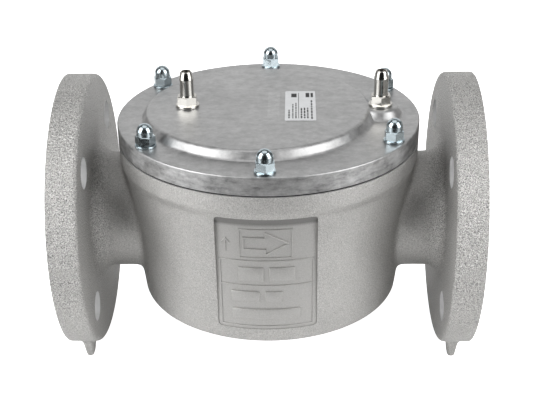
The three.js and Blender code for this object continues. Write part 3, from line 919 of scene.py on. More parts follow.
def gas_spaces():
    """The machined bores and the cored rooms inside the cup."""
    above = BODY_TOP + 5 * MM
    deck_bottom = DECK_TOP - DECK_THICKNESS
    partition_right = PARTITION_LEFT + PARTITION_THICKNESS
    wide = 2 * CHAMBER_RADIUS
    beyond = FACE_X + 3 * MM
    rooms = [
        wedge("chamber", CHAMBER_RADIUS, DECK_TOP, above, -wide, PARTITION_LEFT),
        wedge("channel", CHAMBER_RADIUS, CHAMBER_FLOOR, deck_bottom, DECK_LEFT, wide),
        wedge("duct", CHAMBER_RADIUS - 0.03 * MM, CHAMBER_FLOOR + 0.03 * MM, above, partition_right, wide),
        rod("seat", SEAT_RADIUS, (CARTRIDGE_X, 0, deck_bottom - MM), (CARTRIDGE_X, 0, DECK_TOP + MM), 96),
        rod("inlet", BORE_RADIUS, (-beyond, 0, PIPE_Z), (-CHAMBER_RADIUS + 6 * MM, 0, PIPE_Z), 96),
        rod("outlet", BORE_RADIUS, (partition_right + MM, 0, PIPE_Z), (beyond, 0, PIPE_Z), 96),
    ]
    return rooms


def bolt_holes():
    """Eight flange bolt holes, straddling the centre lines."""
    drills = []
    inner, beyond = FACE_X - FLANGE_THICKNESS - 2 * MM, FACE_X + 3 * MM
    for side in (-1, 1):
        for quarter in range(4):
            angle = math.radians(45 + 90 * quarter)
            y, z = BOLT_CIRCLE * math.cos(angle), PIPE_Z + BOLT_CIRCLE * math.sin(angle)
            drills.append(rod("drill", BOLT_HOLE_RADIUS, (side * inner, y, z), (side * beyond, y, z)))
    return drills


def stud_drills(radius, bottom, top):
    return [rod("drill", radius, (s.x, s.y, bottom), (s.x, s.y, top), 32) for s in STUD_SPOTS]


def facing_cuts():
    """What the lathe takes off the two flange faces and the cup's top."""
    reach = 2 * FACE_X
    far = FACE_X + 20 * MM
    top = COLLAR_RADIUS + 3 * MM
    return [
        block("facing", (FACE_X, -reach, -reach), (far, reach, reach)),
        block("facing", (-far, -reach, -reach), (-FACE_X, reach, reach)),
        block("facing", (-top, -top, BODY_TOP), (top, top, BODY_TOP + 20 * MM)),
    ]


def finish_of_face(centre, normal):
    """Which finish a face of the housing has: 0 cast, 1 turned about X, 2 turned about Z, 3 fine panel with
    painted shade.
    """
    x, y, z = centre
    slack = 0.02 * MM
    from_pipe_axis = math.hypot(y, z - PIPE_Z)
    from_upright_axis = math.hypot(x, y)
    diagonal = BOLT_CIRCLE * math.sqrt(0.5)
    from_hole_axis = math.hypot(abs(y) - diagonal, abs(z - PIPE_Z) - diagonal)
    in_flange = abs(x) > FACE_X - FLANGE_THICKNESS and abs(normal.x) < 0.3
    if abs(x) > FACE_X - slack and abs(normal.x) > 0.9:
        return 1
    if abs(x) > CHAMBER_RADIUS and from_pipe_axis < BORE_RADIUS + slack:
        return 1
    if in_flange and from_hole_axis < BOLT_HOLE_RADIUS + slack:
        return 1
    if z > BODY_TOP - slack and from_upright_axis < COLLAR_RADIUS + slack:
        return 2
    sunk = from_upright_axis < cup_radius(z) - 0.15 * MM
    if sunk and y < -CHAMBER_RADIUS and abs(x) < PANEL_HALF and PANEL_LOW < z < PANEL_HIGH:
        return 3
    return 0


def make_housing():
    piece = flanged_pipe()
    feet = [foot(side, end) for side in (-1, 1) for end in (-1, 1)]
    combine(piece, [cup_outside(), *feet], "UNION")
    soften_casting(piece)
    combine(piece, [panel_recess()], "DIFFERENCE")
    combine(piece, facing_cuts(), "DIFFERENCE")
    for tool in gas_spaces():
        combine(piece, [tool], "DIFFERENCE")
    stud_holes = stud_drills(STUD_RADIUS + 0.3 * MM, STUD_HOLE_FLOOR, BODY_TOP + MM)
    combine(piece, bolt_holes() + stud_holes, "DIFFERENCE")
    materials = [MATERIALS[name] for name in ("casting", "turned_face", "turned_top", "panel")]
    fit(piece, "housing", "cast_body", materials, "filter_body")
    for face in piece.data.polygons:
        face.material_index = finish_of_face(face.center, face.normal)
    shade(piece, 38)
    return piece


# ------------------------------------------------------------------ raised marks on the panel


def stroke(shape, start, end, width, height):
    """Adds one raised bar to a flat drawing, where x runs across, y stands out and z runs up."""
    start, end = Vector((start[0], 0, start[1])), Vector((end[0], 0, end[1]))
    run = end - start
    bar = bmesh.new()
    bmesh.ops.create_cube(bar, size=1)
    bmesh.ops.scale(bar, verts=bar.verts, vec=(run.length + width, 2 * height, width))
    bmesh.ops.bevel(
        bar,
        geom=bar.edges,
        offset=min(0.3 * width, 0.6 * height),
        segments=3,
        profile=0.5,
        affect="EDGES",
        material=-1,
    )
    slices = int(run.length / (2 * MM))
    for index in range(1, slices):
        at = run.length * (index / slices - 0.5)
        everything = bar.verts[:] + bar.edges[:] + bar.faces[:]
        bmesh.ops.bisect_plane(bar, geom=everything, plane_co=(at, 0, 0), plane_no=(1, 0, 0))
    turn = Matrix.Rotation(-math.atan2(run.z, run.x), 3, "Y")
    bmesh.ops.rotate(bar, verts=bar.verts, cent=(0, 0, 0), matrix=turn)
    bmesh.ops.translate(bar, verts=bar.verts, vec=(start + end) / 2)
    drawn = bpy.data.meshes.new("bar")
    bar.to_mesh(drawn)
    bar.free()
    shape.from_mesh(drawn)
    bpy.data.meshes.remove(drawn)


def chain(shape, points, width, height, closed=False):
    """Adds a run of strokes through points given in millimetres from the pipe axis."""
    corners = [(x * MM, z * MM) for x, z in points]
    if closed:
        corners.append(corners[0])
    for start, end in zip(corners, corners[1:]):
        stroke(shape, start, end, width, height)


def press_onto_wall(shape):
    """Bends a flat drawing round the cup, so that it stands on the panel's floor."""
    for vertex in shape.verts:
        height = PIPE_Z + vertex.co.z
        radius = panel_radius(height) + vertex.co.y
        vertex.co.y = -math.sqrt(radius ** 2 - vertex.co.x ** 2)
        vertex.co.z = height


BLANK_BARS = (
    (-16, -1.5, -5, 4),
    (1.5, 16, -5, 4),
    (-20, -4, -19, -12),
    (-1, 9, -19, -12),
    (-20, 19, -31, -24),
)


def blank_bar(shape, left, right, bottom, top, height):
    """A blank raised bar where cast lettering would stand, in millimetres from the pipe axis."""
    width = (top - bottom) * MM
    middle = (bottom + top) / 2 * MM
    stroke(shape, (left * MM + width / 2, middle), (right * MM - width / 2, middle), width, height)


def make_marks():
    """The framed flow arrow, the small up arrow, the field lines and the blank bars."""
    tall = bpy.context.scene.filter_sizes.mark_height
    low = 0.5 * tall
    line = 0.8 * MM
    shape = bmesh.new()
    chain(shape, [(-14.8, 10.4), (14.2, 10.4), (14.2, 28.4), (-14.8, 28.4)], line, low, closed=True)
    arrow = [(-12.5, 16), (-0.3, 16), (-0.3, 12.6), (12.3, 19.6), (-0.3, 26.6), (-0.3, 23.2), (-12.5, 23.2)]
    chain(shape, arrow, line, 0.7 * tall, closed=True)
    chain(shape, [(-22.6, 14), (-22.6, 22)], line, low)
    chain(shape, [(-24.6, 19.6), (-22.6, 22), (-20.6, 19.6)], line, low)
    chain(shape, [(-26, 8.3), (26, 8.3), (26, -36), (-26, -36)], line, low, closed=True)
    chain(shape, [(-26, -8), (26, -8)], line, low)
    for left, right, bottom, top in BLANK_BARS:
        blank_bar(shape, left, right, bottom, top, tall)
    press_onto_wall(shape)
    bmesh.ops.recalc_face_normals(shape, faces=shape.faces)
    piece = to_object(shape, "panel_marks")
    shade(piece, 60, weighted=False)
    fit(piece, "housing", "cast_body", [MATERIALS["panel"]])


# ------------------------------------------------------------------ cover and what is bolted to it


def raised_disc(name, radius, x):
    """A raised disc with a sloped side that runs out into the rim in a fillet."""
    slope, run_out, crown = PLATEAU_SLOPE, 2.6 * MM, 1.5 * MM
    top = plateau_top()
    root = RIM_TOP - 3 * MM
    flank = radius + slope
    return spun(
        name,
        [
            (0, root),
            (flank + run_out, root),
            (flank + run_out, RIM_TOP - 0.02 * MM),
            (flank + 0.5 * run_out, RIM_TOP + 0.25 * MM),
            (flank + 0.1 * run_out, RIM_TOP + 1.1 * MM),
            (radius + 0.5 * MM, top - crown),
            (radius, top - 0.55 * crown),
            (radius - 0.8 * MM, top - 0.15 * crown),
            (radius - 2.0 * MM, top),
            (0, top),
        ],
        centre=(x, 0, 0),
        steps=160,
    )


def plateau_top():
    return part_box("nipple_seal_inlet")[0].z - 0.05 * MM


def make_cover():
    edge = 0.8 * MM
    piece = spun(
        "cover_casting",
        [
            (0, COVER_LOW.z),
            (COLLAR_RADIUS - 0.3 * MM, COVER_LOW.z),
            (COLLAR_RADIUS, COVER_LOW.z + 0.4 * MM),
            *arc(COLLAR_RADIUS - edge, RIM_TOP - edge, edge, 0, 90, 5),
            (0, RIM_TOP),
        ],
        steps=192,
    )
    plateau = raised_disc("plateau", PLATEAU_RADIUS, CARTRIDGE_X)
    boss = raised_disc("boss", BOSS_RADIUS, NIPPLE_X["outlet"])
    combine(piece, [plateau, boss], "UNION")
    ceiling = PIPE_Z + 62.4 * MM
    pocket = spun(
        "pocket",
        [(0, COVER_LOW.z - MM), (58 * MM, COVER_LOW.z - MM), (56.5 * MM, ceiling), (0, ceiling)],
        centre=(CARTRIDGE_X, 0, 0),
        steps=128,
    )
    combine(piece, [pocket], "DIFFERENCE")
    ring_low = PIPE_Z + 58.8 * MM
    ring = spun(
        "hold_down",
        [(30 * MM, ring_low), (33 * MM, ring_low), (33 * MM, ceiling + MM), (30 * MM, ceiling + MM)],
        centre=(CARTRIDGE_X, 0, 0),
        steps=96,
    )
    combine(piece, [ring], "UNION")
    below, above = COVER_LOW.z - MM, COVER_HIGH.z + MM
    threads = [rod("tap", TAP_RADIUS, (x, 0, below), (x, 0, above), 48) for x in NIPPLE_X.values()]
    combine(piece, threads + stud_drills(3.5 * MM, COVER_LOW.z - MM, RIM_TOP + MM), "DIFFERENCE")
    fit(piece, "lid", "cast_cover", [MATERIALS["cover"]], "cover")
    shade(piece, 34)


def threaded_profile(radius, bottom, top):
    """The outline of a threaded pin, with a V groove every pitch."""
    depth = 0.3 * MM
    outline = [(0, bottom), (radius - 2 * depth, bottom)]
    turns = int((top - bottom - THREAD_PITCH) / THREAD_PITCH)
    for turn in range(turns):
        height = bottom + (turn + 0.5) * THREAD_PITCH
        outline += [(radius - depth, height), (radius, height + THREAD_PITCH / 2)]
    outline += [(radius - 2 * depth, top), (0, top)]
    return outline


def make_studs():
    for number, spot in enumerate(STUD_SPOTS, 1):
        low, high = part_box(f"stud_{number}")
        piece = spun(
            f"threaded_stud_{number}",
            threaded_profile(STUD_RADIUS, low.z, high.z),
            centre=(spot.x, spot.y, 0),
            steps=32,
        )
        shade(piece, 50, weighted=False)
        fit(piece, "housing", "zinc_steel", [MATERIALS["zinc"]], f"stud_{number}")


def make_washers():
    for number, spot in enumerate(STUD_SPOTS, 1):
        low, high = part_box(f"washer_{number}")
        edge = 0.3 * MM
        inner, outer = 3.5 * MM, 6 * MM
        piece = spun(
            f"plated_washer_{number}",
            [
                (inner, low.z),
                (outer - edge, low.z),
                (outer, low.z + edge),
                *arc(outer - edge, high.z - edge, edge, 0, 90, 3),
                *arc(inner + edge, high.z - edge, edge, 90, 180, 3),
            ],
            centre=(spot.x, spot.y, 0),
            steps=64,
        )
        shade(piece, 40)
        fit(piece, "lid", "zinc_steel", [MATERIALS["zinc"]], f"washer_{number}")


def cap_nut(name, spot, low, high, turn):
    """A domed cap nut: hexagon with turned corners, a neck, a round dome and a blind hole."""
    dome = bpy.context.scene.filter_sizes.dome_radius
    flats = 10 * MM
    hex_top = low + 5.4 * MM
    corner = flats / math.sqrt(3)
    chamfer = 0.75 * MM
    piece = hexagon_bar(name, flats, low, hex_top, spot, turn)
    keep = spun(
        "turned",
        [
            (0, low - MM),
            (corner - 0.9 * MM, low - MM),
            (corner - 0.5 * MM, low),
            (corner + 0.02 * MM, low + 0.6 * MM),
            (corner + 0.02 * MM, hex_top - chamfer),
            (corner - 2.1 * chamfer, hex_top + 0.1 * MM),
            (0, hex_top + 0.1 * MM),
        ],
        centre=(spot.x, spot.y, 0),
        steps=64,
    )
    combine(piece, [keep], "INTERSECT")
    crown = spun(
        "crown",
        [
            (0, hex_top - MM),
            (dome - 0.1 * MM, hex_top - MM),
            (dome - 0.05 * MM, hex_top + 0.25 * MM),
            *arc(0, high - dome, dome, 4, 89, 12),
            (0, high),
        ],
        centre=(spot.x, spot.y, 0),
        steps=64,
    )
    combine(piece, [crown], "UNION")
    hole_top = low + 9 * MM
    hole = rod("hole", STUD_RADIUS + 0.3 * MM, (spot.x, spot.y, low - MM), (spot.x, spot.y, hole_top), 32)
    combine(piece, [hole], "DIFFERENCE")
    round_edges(piece, 0.12 * MM, 2, 28)
    return piece


def make_cap_nuts():
    turns = [6, 4, 22, 3, 17, 29]
    for number, (spot, turn) in enumerate(zip(STUD_SPOTS, turns), 1):
        low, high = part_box(f"cap_nut_{number}")
        piece = cap_nut(f"domed_nut_{number}", spot, low.z, high.z, math.radians(turn))
        fit(piece, f"nut_{number}", "zinc_steel", [MATERIALS["zinc"]], f"cap_nut_{number}")
        shade(piece, 30)


def test_nipple(name, side):
    """A turned nipple: threaded shank, collar, hexagon, hose stem with a tapered, rimmed mouth."""
    low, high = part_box(f"test_nipple_{side}")
    seal_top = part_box(f"nipple_seal_{side}")[1].z
    x = NIPPLE_X[side]
    hex_low, hex_high = seal_top + 0.05 * MM, seal_top + 5.3 * MM
    flats = 11 * MM
    corner = flats / math.sqrt(3)
    piece = hexagon_bar(name, flats, hex_low, hex_high, (x, 0))
    keep = spun(
        "turned",
        [
            (0, hex_low - MM),
            (corner, hex_low - MM),
            (corner, hex_high - 0.7 * MM),
            (corner - 1.1 * MM, hex_high + 0.05 * MM),
            (0, hex_high + 0.05 * MM),
        ],
        centre=(x, 0, 0),
        steps=64,
    )
    combine(piece, [keep], "INTERSECT")
    shank = threaded_profile(4.85 * MM, low.z, hex_low + MM)
    stem = [
        (0, hex_low),
        (4.3 * MM, hex_low),
        (4.3 * MM, hex_high + 0.3 * MM),
        (4.1 * MM, hex_high + 0.8 * MM),
        (4.1 * MM, high.z - 5.4 * MM),
        (4.3 * MM, high.z - 5.0 * MM),
        (4.3 * MM, high.z - 4.2 * MM),
        (3.5 * MM, high.z - 0.7 * MM),
        (3.1 * MM, high.z),
        (0, high.z),
    ]
    turned = [
        spun("shank", shank, centre=(x, 0, 0), steps=48),
        spun("stem", stem, centre=(x, 0, 0), steps=64),
    ]
    combine(piece, turned, "UNION")
    floor = high.z - 9 * MM
    drills = [
        rod("channel", 1.3 * MM, (x, 0, low.z - MM), (x, 0, floor + MM), 24),
        rod("socket", 2.6 * MM, (x, 0, floor), (x, 0, high.z + MM), 32),
    ]
    combine(piece, drills, "DIFFERENCE")
    round_edges(piece, 0.1 * MM, 2, 28)
    return piece


def make_nipples():
    for side in SIDES:
        piece = test_nipple(f"pressure_nipple_{side}", side)
        fit(piece, "lid", "nickel_brass", [MATERIALS["nickel"]], f"test_nipple_{side}")
        shade(piece, 30)
        low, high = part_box(f"nipple_seal_{side}")
        edge = 0.35 * MM
        inner, outer = 5.15 * MM, 7 * MM
        ring = spun(
            f"sealing_ring_{side}",
            [
                (inner, low.z),
                (outer - edge, low.z),
                *arc(outer - edge, low.z + edge, edge, -60, 0, 2),
                *arc(outer - edge, high.z - edge, edge, 0, 90, 3),
                (inner, high.z),
            ],
            centre=(NIPPLE_X[side], 0, 0),
            steps=64,
        )
        shade(ring, 40)
        fit(ring, "lid", "nickel_brass", [MATERIALS["nickel"]], f"nipple_seal_{side}")


def make_nipple_screws():
    for side in SIDES:
        low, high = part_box(f"nipple_screw_{side}")
        x = NIPPLE_X[side]
        radius = 2.3 * MM
        piece = spun(
            f"slotted_screw_{side}",
            [
                (0, low.z),
                (1.0 * MM, low.z),
                (radius, low.z + 1.4 * MM),
                (radius, high.z - 0.4 * MM),
                (radius - 0.4 * MM, high.z),
                (0, high.z),
            ],
            centre=(x, 0, 0),
            steps=48,
        )
        half, reach, depth = 0.45 * MM, 3 * MM, 1.2 * MM
        slot = block("slot", (x - half, -reach, high.z - depth), (x + half, reach, high.z + MM))
        combine(piece, [slot], "DIFFERENCE")
        round_edges(piece, 0.06 * MM, 2, 40)
        fit(piece, f"screw_{side}", "screw_steel", [MATERIALS["screw"]], f"nipple_screw_{side}")
        shade(piece, 35)


def make_label():
    """The silver film with its rounded corners, and plain printed lines on it."""
    shape = bmesh.new()
    bmesh.ops.create_cube(shape, size=1)
    size = LABEL_HIGH - LABEL_LOW
    bmesh.ops.scale(shape, verts=shape.verts, vec=size)
    upright = []
    for edge in shape.edges:
        if abs(edge.verts[0].co.z - edge.verts[1].co.z) > size.z / 2:
            upright.append(edge)
    bmesh.ops.bevel(
        shape, geom=upright, offset=1.0 * MM, segments=5, profile=0.5, affect="EDGES", material=-1
    )
    bmesh.ops.translate(shape, verts=shape.verts, vec=(LABEL_LOW + LABEL_HIGH) / 2)
    film = to_object(shape, "label_film")
    fit(film, "lid", "label_film", [MATERIALS["label"]], "name_label")
    shade(film, 40)
    print_lines()


def print_bar(shape, left, right, low, high):
    """One printed bar on the label, in millimetres from the label's middle."""
    ink = 0.02 * MM
    middle = (LABEL_LOW + LABEL_HIGH) / 2
    corners = bmesh.ops.create_cube(shape, size=1)["verts"]
    bmesh.ops.scale(shape, verts=corners, vec=((right - left) * MM, (high - low) * MM, ink))
    spot = Vector(((left + right) / 2 * MM, (low + high) / 2 * MM, 0)) + middle
    spot.z = LABEL_HIGH.z + ink / 2
    bmesh.ops.translate(shape, verts=corners, vec=spot)


def print_column(shape, dice, centre, width, low, high):
    """A line of print that runs up the label, as bars of uneven length."""
    start = low
    while start < high - 1:
        end = min(start + dice.uniform(1.5, 4.5), high)
        print_bar(shape, centre - width / 2, centre + width / 2, start, end)
        start = end + dice.uniform(0.6, 1.3)


def print_lines():
    """Plain printed bars in place of any words: a solid block, a rule and lines that run up the label."""
    dice = random.Random(7)
    shape = bmesh.new()
    print_bar(shape, -5.4, -2.2, 13, 19)
    print_bar(shape, -1.2, -0.9, -20, 20)
    print_column(shape, dice, -6.6, 0.8, -20, -6)
    print_column(shape, dice, -4.4, 0.7, -20, 2)
    print_column(shape, dice, -2.6, 0.7, -20, 4)
    for centre in (0.6, 2.4, 4.2):
        print_column(shape, dice, centre, 0.9, -20, -4)
    print_column(shape, dice, 6.6, 0.9, -21, 8)
    print_bar(shape, 3.2, 5.4, 13, 20)
    print_bar(shape, 6.2, 7.6, 13, 20)
    fit(to_object(shape, "label_print"), "lid", "label_film", [MATERIALS["ink"]])


def make_gasket():
    """The flat gasket, with a web over the partition and six stud holes."""
    outer = GASKET_HIGH.y
    low, high = GASKET_LOW.z, GASKET_HIGH.z
    piece = spun(
        "flat_gasket",
        [(CHAMBER_RADIUS, low), (outer, low), (outer, high), (CHAMBER_RADIUS, high)],
        steps=192,
    )
    half = math.sqrt(CHAMBER_RADIUS ** 2 - PARTITION_LEFT ** 2) + 3 * MM
    right = PARTITION_LEFT + PARTITION_THICKNESS
    web = block("web", (PARTITION_LEFT, -half, low), (right, half, high))
    combine(piece, [web], "UNION")
    combine(piece, stud_drills(3.2 * MM, low - MM, high + MM), "DIFFERENCE")
    fit(piece, "housing", "seal_rubber", [MATERIALS["rubber"]], "cover_gasket")
    shade(piece, 40, weighted=False)


# ------------------------------------------------------------------ filter cartridge


def make_cartridge_cap():
    """A pressed sheet cap with a rolled skirt and two stiffening beads."""
    bottom, top = CAP_LOW.z, CAP_HIGH.z
    outer = (CAP_HIGH.y - CAP_LOW.y) / 2
    inner = outer - 1.2 * MM
    disc_low = top - 2.5 * MM
    bead = 0.5 * MM
    piece = spun(
        "pressed_cap",
        [
            (0, disc_low),
            (inner, disc_low),
            (inner, bottom),
            (outer, bottom),
            *arc(outer - 1.5 * MM, top - 1.5 * MM - bead, 1.5 * MM, 0, 90, 5),
            (42 * MM, top - bead),
            (40.5 * MM, top),
            (38.5 * MM, top),
            (37 * MM, top - bead),
            (14 * MM, top - bead),
            (12.5 * MM, top),
            (0, top),
        ],
        centre=(CARTRIDGE_X, 0, 0),
        steps=128,
    )
    fit(piece, "cartridge", "sheet_steel", [MATERIALS["sheet"]], "cartridge_cap")
    shade(piece, 40)


def make_cartridge_base():
    """The base ring with its spigot, and the rubber ring that it presses on the seat."""
    plate_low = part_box("cartridge_seal")[1].z + 0.05 * MM
    outer = (BASE_HIGH.y - BASE_LOW.y) / 2
    spigot = SEAT_RADIUS - 0.6 * MM
    edge = 0.6 * MM
    piece = spun(
        "base_ring",
        [
            (spigot - 2 * MM, BASE_LOW.z),
            (spigot - edge, BASE_LOW.z),
            (spigot, BASE_LOW.z + edge),
            (spigot, plate_low),
            (outer - edge, plate_low),
            *arc(outer - edge, BASE_HIGH.z - edge, edge, 0, 90, 4),
            (spigot - 2 * MM, BASE_HIGH.z),
        ],
        centre=(CARTRIDGE_X, 0, 0),
        steps=128,
    )
    fit(piece, "cartridge", "sheet_steel", [MATERIALS["sheet"]], "cartridge_base")
    shade(piece, 40)
    low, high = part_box("cartridge_seal")
    radius, thick = 36 * MM, 4 * MM
    edge = 0.8 * MM
    ring = spun(
        "seat_seal",
        [
            *arc(radius - thick + edge, low.z + edge, edge, 180, 270, 4),
            *arc(radius + thick - edge, low.z + edge, edge, 270, 360, 4),
            *arc(radius + thick - edge, high.z - edge, edge, 0, 90, 4),
            *arc(radius - thick + edge, high.z - edge, edge, 90, 180, 4),
        ],
        centre=(CARTRIDGE_X, 0, 0),
        steps=96,
    )
    fit(ring, "cartridge", "seal_rubber", [MATERIALS["rubber"]], "cartridge_seal")
    shade(ring, 50, weighted=False)


def make_fleece():
    """The fleece tube: thick, soft-edged and slightly lumpy, as wound fleece is."""
    outer = (FLEECE_HIGH.y - FLEECE_LOW.y) / 2 - 0.8 * MM
    inner = 38.5 * MM
    low, high = FLEECE_LOW.z + 0.2 * MM, FLEECE_HIGH.z - 0.2 * MM
    rows = 40
    edge = 2 * MM
    wall = [(outer, low + edge + (high - low - 2 * edge) * row / rows) for row in range(rows + 1)]
    piece = spun(
        "fleece_tube",
        [
            (inner, low),
            *arc(outer - edge, low + edge, edge, -90, -15, 3),
            *wall,
            *arc(outer - edge, high - edge, edge, 15, 90, 3),
            (inner, high),
        ],
        centre=(CARTRIDGE_X, 0, 0),
        steps=180,
    )
    lump = 11 * MM
    for vertex in piece.data.vertices:
        sideways = Vector((vertex.co.x - CARTRIDGE_X, vertex.co.y, 0))
        if sideways.length > inner + 3 * MM:
            coarse = noise.noise(vertex.co / lump) * 0.6 * MM
            swell = coarse + noise.noise(vertex.co / (0.3 * lump)) * 0.2 * MM
            vertex.co += sideways.normalized() * swell
    fit(piece, "cartridge", "fleece", [MATERIALS["fleece"]], "cartridge_fleece")
    shade(piece, 60, weighted=False)


def finish_cage():
    """The support cage keeps its shape and gets the galvanised finish."""
    cage = frame["nodes"]["cartridge_cage"]
    cage.data.materials.clear()
    cage.data.materials.append(MATERIALS["sheet"])


# ------------------------------------------------------------------ stage


SOFT_BOXES = (
    ("left box", (-1.1, -0.6, 0.7), (0.95, 1.5), 20),
    ("right box", (1.1, -0.6, 0.7), (0.95, 1.5), 17),
    ("back box", (0, 1.6, 0.8), (3.4, 1.5), 12),
    ("top box", (0, 0, 1.5), (1.2, 1.0), 4),
)


def soft_light(name, place, target, size, power):
    """A rectangular soft box that faces a point."""
    data = bpy.data.lights.new(name, "AREA")
    data.shape = "RECTANGLE"
    data.size, data.size_y = size
    data.energy = power
    lamp = bpy.data.objects.new(name, data)
    bpy.context.scene.collection.objects.link(lamp)
    lamp.location = place
    lamp.rotation_euler = (Vector(target) - Vector(place)).to_track_quat("-Z", "Y").to_euler()


def floor_sheet(name, depth, glow):
    """A wide sheet of paper just under the feet."""
    shape = bmesh.new()
    bmesh.ops.create_grid(shape, x_segments=8, y_segments=8, size=6)
    bmesh.ops.translate(shape, verts=shape.verts, vec=(0, 0, BODY_LOW.z - depth))
    sheet = to_object(shape, name)
    sheet.data.materials.append(studio_paper(glow))
    return sheet


def make_floor():
    """The white sheet that is seen, and under it a plain one that throws the light back up."""
    seen = floor_sheet("studio_floor", 0.05 * MM, 1.0)
    seen.visible_diffuse = False
    seen.visible_glossy = False
    seen.visible_shadow = False
    floor_sheet("bounce_floor", 0.1 * MM, 0.0).visible_camera = False


def make_flags():
    """Black flags that only reflections see: they give the bright metal its dark middle."""
    black = plain_finish("black_velvet", "#020202", "#060606", 5 * MM, 0.95, 1.0)
    floor_flag = block("floor_flag", (-0.5, -1.5, BODY_LOW.z + MM), (0.5, -0.30, BODY_LOW.z + 2 * MM))
    front_flag = block("front_flag", (-0.75, -1.12, 0), (0.75, -1.1, 1.2))
    for flag in (floor_flag, front_flag):
        flag.data.materials.append(black)
        flag.visible_camera = False
        flag.visible_diffuse = False
        flag.visible_shadow = False


def make_world():
    """A dim white room light that looks plain white behind the object."""
    room_light = 0.11
    world = bpy.data.worlds.new("white studio")
    world.use_nodes = True
    tree = world.node_tree
    seen = add_node(tree, "ShaderNodeLightPath").outputs["Is Camera Ray"]
    strength = add_node(
        tree,
        "ShaderNodeMapRange",
        {"Value": seen, "From Min": 0.0, "From Max": 1.0, "To Min": room_light, "To Max": 1.0},
    )
    backdrop = tree.nodes["Background"]
    backdrop.inputs["Color"].default_value = linear("#ffffff")
    tree.links.new(strength.outputs["Result"], backdrop.inputs["Strength"])
    bpy.context.scene.world = world


def make_camera():
    """A long lens a little above the cover, nearly square on to the panel."""
    data = bpy.data.cameras.new("camera")
    data.sensor_width = 36
    data.lens = 74.9
    data.shift_y = 0.120
    data.clip_end = 50
    camera = bpy.data.objects.new("camera", data)
    bpy.context.scene.collection.objects.link(camera)
    distance = 707.7 * MM
    elevation, yaw, roll = (math.radians(angle) for angle in (29.59, -1.71, -0.89))
    forward = Vector(
        (math.sin(yaw) * math.cos(elevation), math.cos(yaw) * math.cos(elevation), -math.sin(elevation))
    )
    level = Vector((math.cos(yaw), -math.sin(yaw), 0))
    upright = level.cross(forward)
    right = level * math.cos(roll) + upright * math.sin(roll)
    up = upright * math.cos(roll) - level * math.sin(roll)
    target = Vector((-2.1 * MM, 0, PIPE_Z - 40.2 * MM))
    turn = Matrix((right, up, -forward)).transposed().to_4x4()
    camera.matrix_world = Matrix.Translation(target - forward * distance) @ turn
    bpy.context.scene.camera = camera


# ------------------------------------------------------------------ operators and panel


class BuildOperator:
    """What every build step shares."""

    bl_options = {"REGISTER", "UNDO"}


class FILTER_OT_materials(BuildOperator, bpy.types.Operator):
    """Makes the finishes of all pieces"""

    bl_idname = "filter.materials"
    bl_label = "Materials"

    def execute(self, context):
        make_materials(context.scene.filter_colours)
        return {"FINISHED"}


class FILTER_OT_stage(BuildOperator, bpy.types.Operator):
    """Sets up the camera, the soft lights and the pale floor"""

    bl_idname = "filter.stage"
    bl_label = "Stage"

    def execute(self, context):
        context.scene.view_settings.view_transform = "Standard"
        make_camera()
        make_floor()
        make_flags()
        make_world()
        for name, place, size, watts in SOFT_BOXES:
            soft_light(name, place, (0, 0, PIPE_Z), size, watts)
        return {"FINISHED"}


class FILTER_OT_housing(BuildOperator, bpy.types.Operator):
    """Builds the cast housing with its flanges, bores and chambers"""

    bl_idname = "filter.housing"
    bl_label = "Housing"

    def execute(self, context):
        make_housing()
        return {"FINISHED"}


class FILTER_OT_marks(BuildOperator, bpy.types.Operator):
    """Builds the raised arrow, field lines and blank bars on the panel"""

    bl_idname = "filter.marks"
    bl_label = "Panel marks"

    def execute(self, context):
        make_marks()
        return {"FINISHED"}


class FILTER_OT_cover(BuildOperator, bpy.types.Operator):
    """Builds the cover casting and the gasket under it"""

    bl_idname = "filter.cover"
    bl_label = "Cover and gasket"

    def execute(self, context):
        make_cover()
        make_gasket()
        return {"FINISHED"}


class FILTER_OT_fasteners(BuildOperator, bpy.types.Operator):
    """Builds the studs, washers and domed cap nuts"""

    bl_idname = "filter.fasteners"
    bl_label = "Fasteners"

    def execute(self, context):
        make_studs()
        make_washers()
        make_cap_nuts()
        return {"FINISHED"}


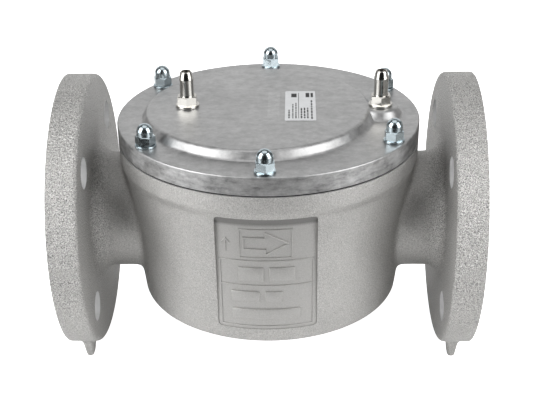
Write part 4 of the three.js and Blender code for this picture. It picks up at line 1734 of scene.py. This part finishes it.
class FILTER_OT_nipples(BuildOperator, bpy.types.Operator):
    """Builds the test nipples with their rings and slotted screws"""

    bl_idname = "filter.nipples"
    bl_label = "Test nipples"

    def execute(self, context):
        make_nipples()
        make_nipple_screws()
        return {"FINISHED"}


class FILTER_OT_label(BuildOperator, bpy.types.Operator):
    """Builds the film label and its plain printed lines"""

    bl_idname = "filter.label"
    bl_label = "Label"

    def execute(self, context):
        make_label()
        return {"FINISHED"}


class FILTER_OT_cartridge(BuildOperator, bpy.types.Operator):
    """Builds the cartridge's cap, base, seal and fleece, and finishes its cage"""

    bl_idname = "filter.cartridge"
    bl_label = "Cartridge"

    def execute(self, context):
        make_cartridge_cap()
        make_cartridge_base()
        make_fleece()
        finish_cage()
        return {"FINISHED"}


STEPS = ("materials", "stage", "housing", "marks", "cover", "fasteners", "nipples", "label", "cartridge")


class FILTER_PT_panel(bpy.types.Panel):
    """Lists the build steps and the values that a user may change"""

    bl_idname = "FILTER_PT_panel"
    bl_label = "Gas filter"
    bl_space_type = "VIEW_3D"
    bl_region_type = "UI"
    bl_category = "Gas filter"

    def draw(self, context):
        scene = context.scene
        for name in ("cast_fillet", "mark_height", "dome_radius"):
            self.layout.prop(scene.filter_sizes, name)
        for name in ("casting", "cover", "zinc"):
            self.layout.prop(scene.filter_colours, name)
        for step in STEPS:
            self.layout.operator("filter." + step)


CLASSES = (
    FilterSizes,
    FilterColours,
    FILTER_OT_materials,
    FILTER_OT_stage,
    FILTER_OT_housing,
    FILTER_OT_marks,
    FILTER_OT_cover,
    FILTER_OT_fasteners,
    FILTER_OT_nipples,
    FILTER_OT_label,
    FILTER_OT_cartridge,
    FILTER_PT_panel,
)


def register():
    for one in CLASSES:
        bpy.utils.register_class(one)
    bpy.types.Scene.filter_sizes = bpy.props.PointerProperty(type=FilterSizes)
    bpy.types.Scene.filter_colours = bpy.props.PointerProperty(type=FilterColours)


def unregister():
    del bpy.types.Scene.filter_sizes
    del bpy.types.Scene.filter_colours
    for one in reversed(CLASSES):
        bpy.utils.unregister_class(one)


def main():
    register()
    for step in STEPS:
        getattr(bpy.ops.filter, step)()


if __name__ == "__main__":
    main()
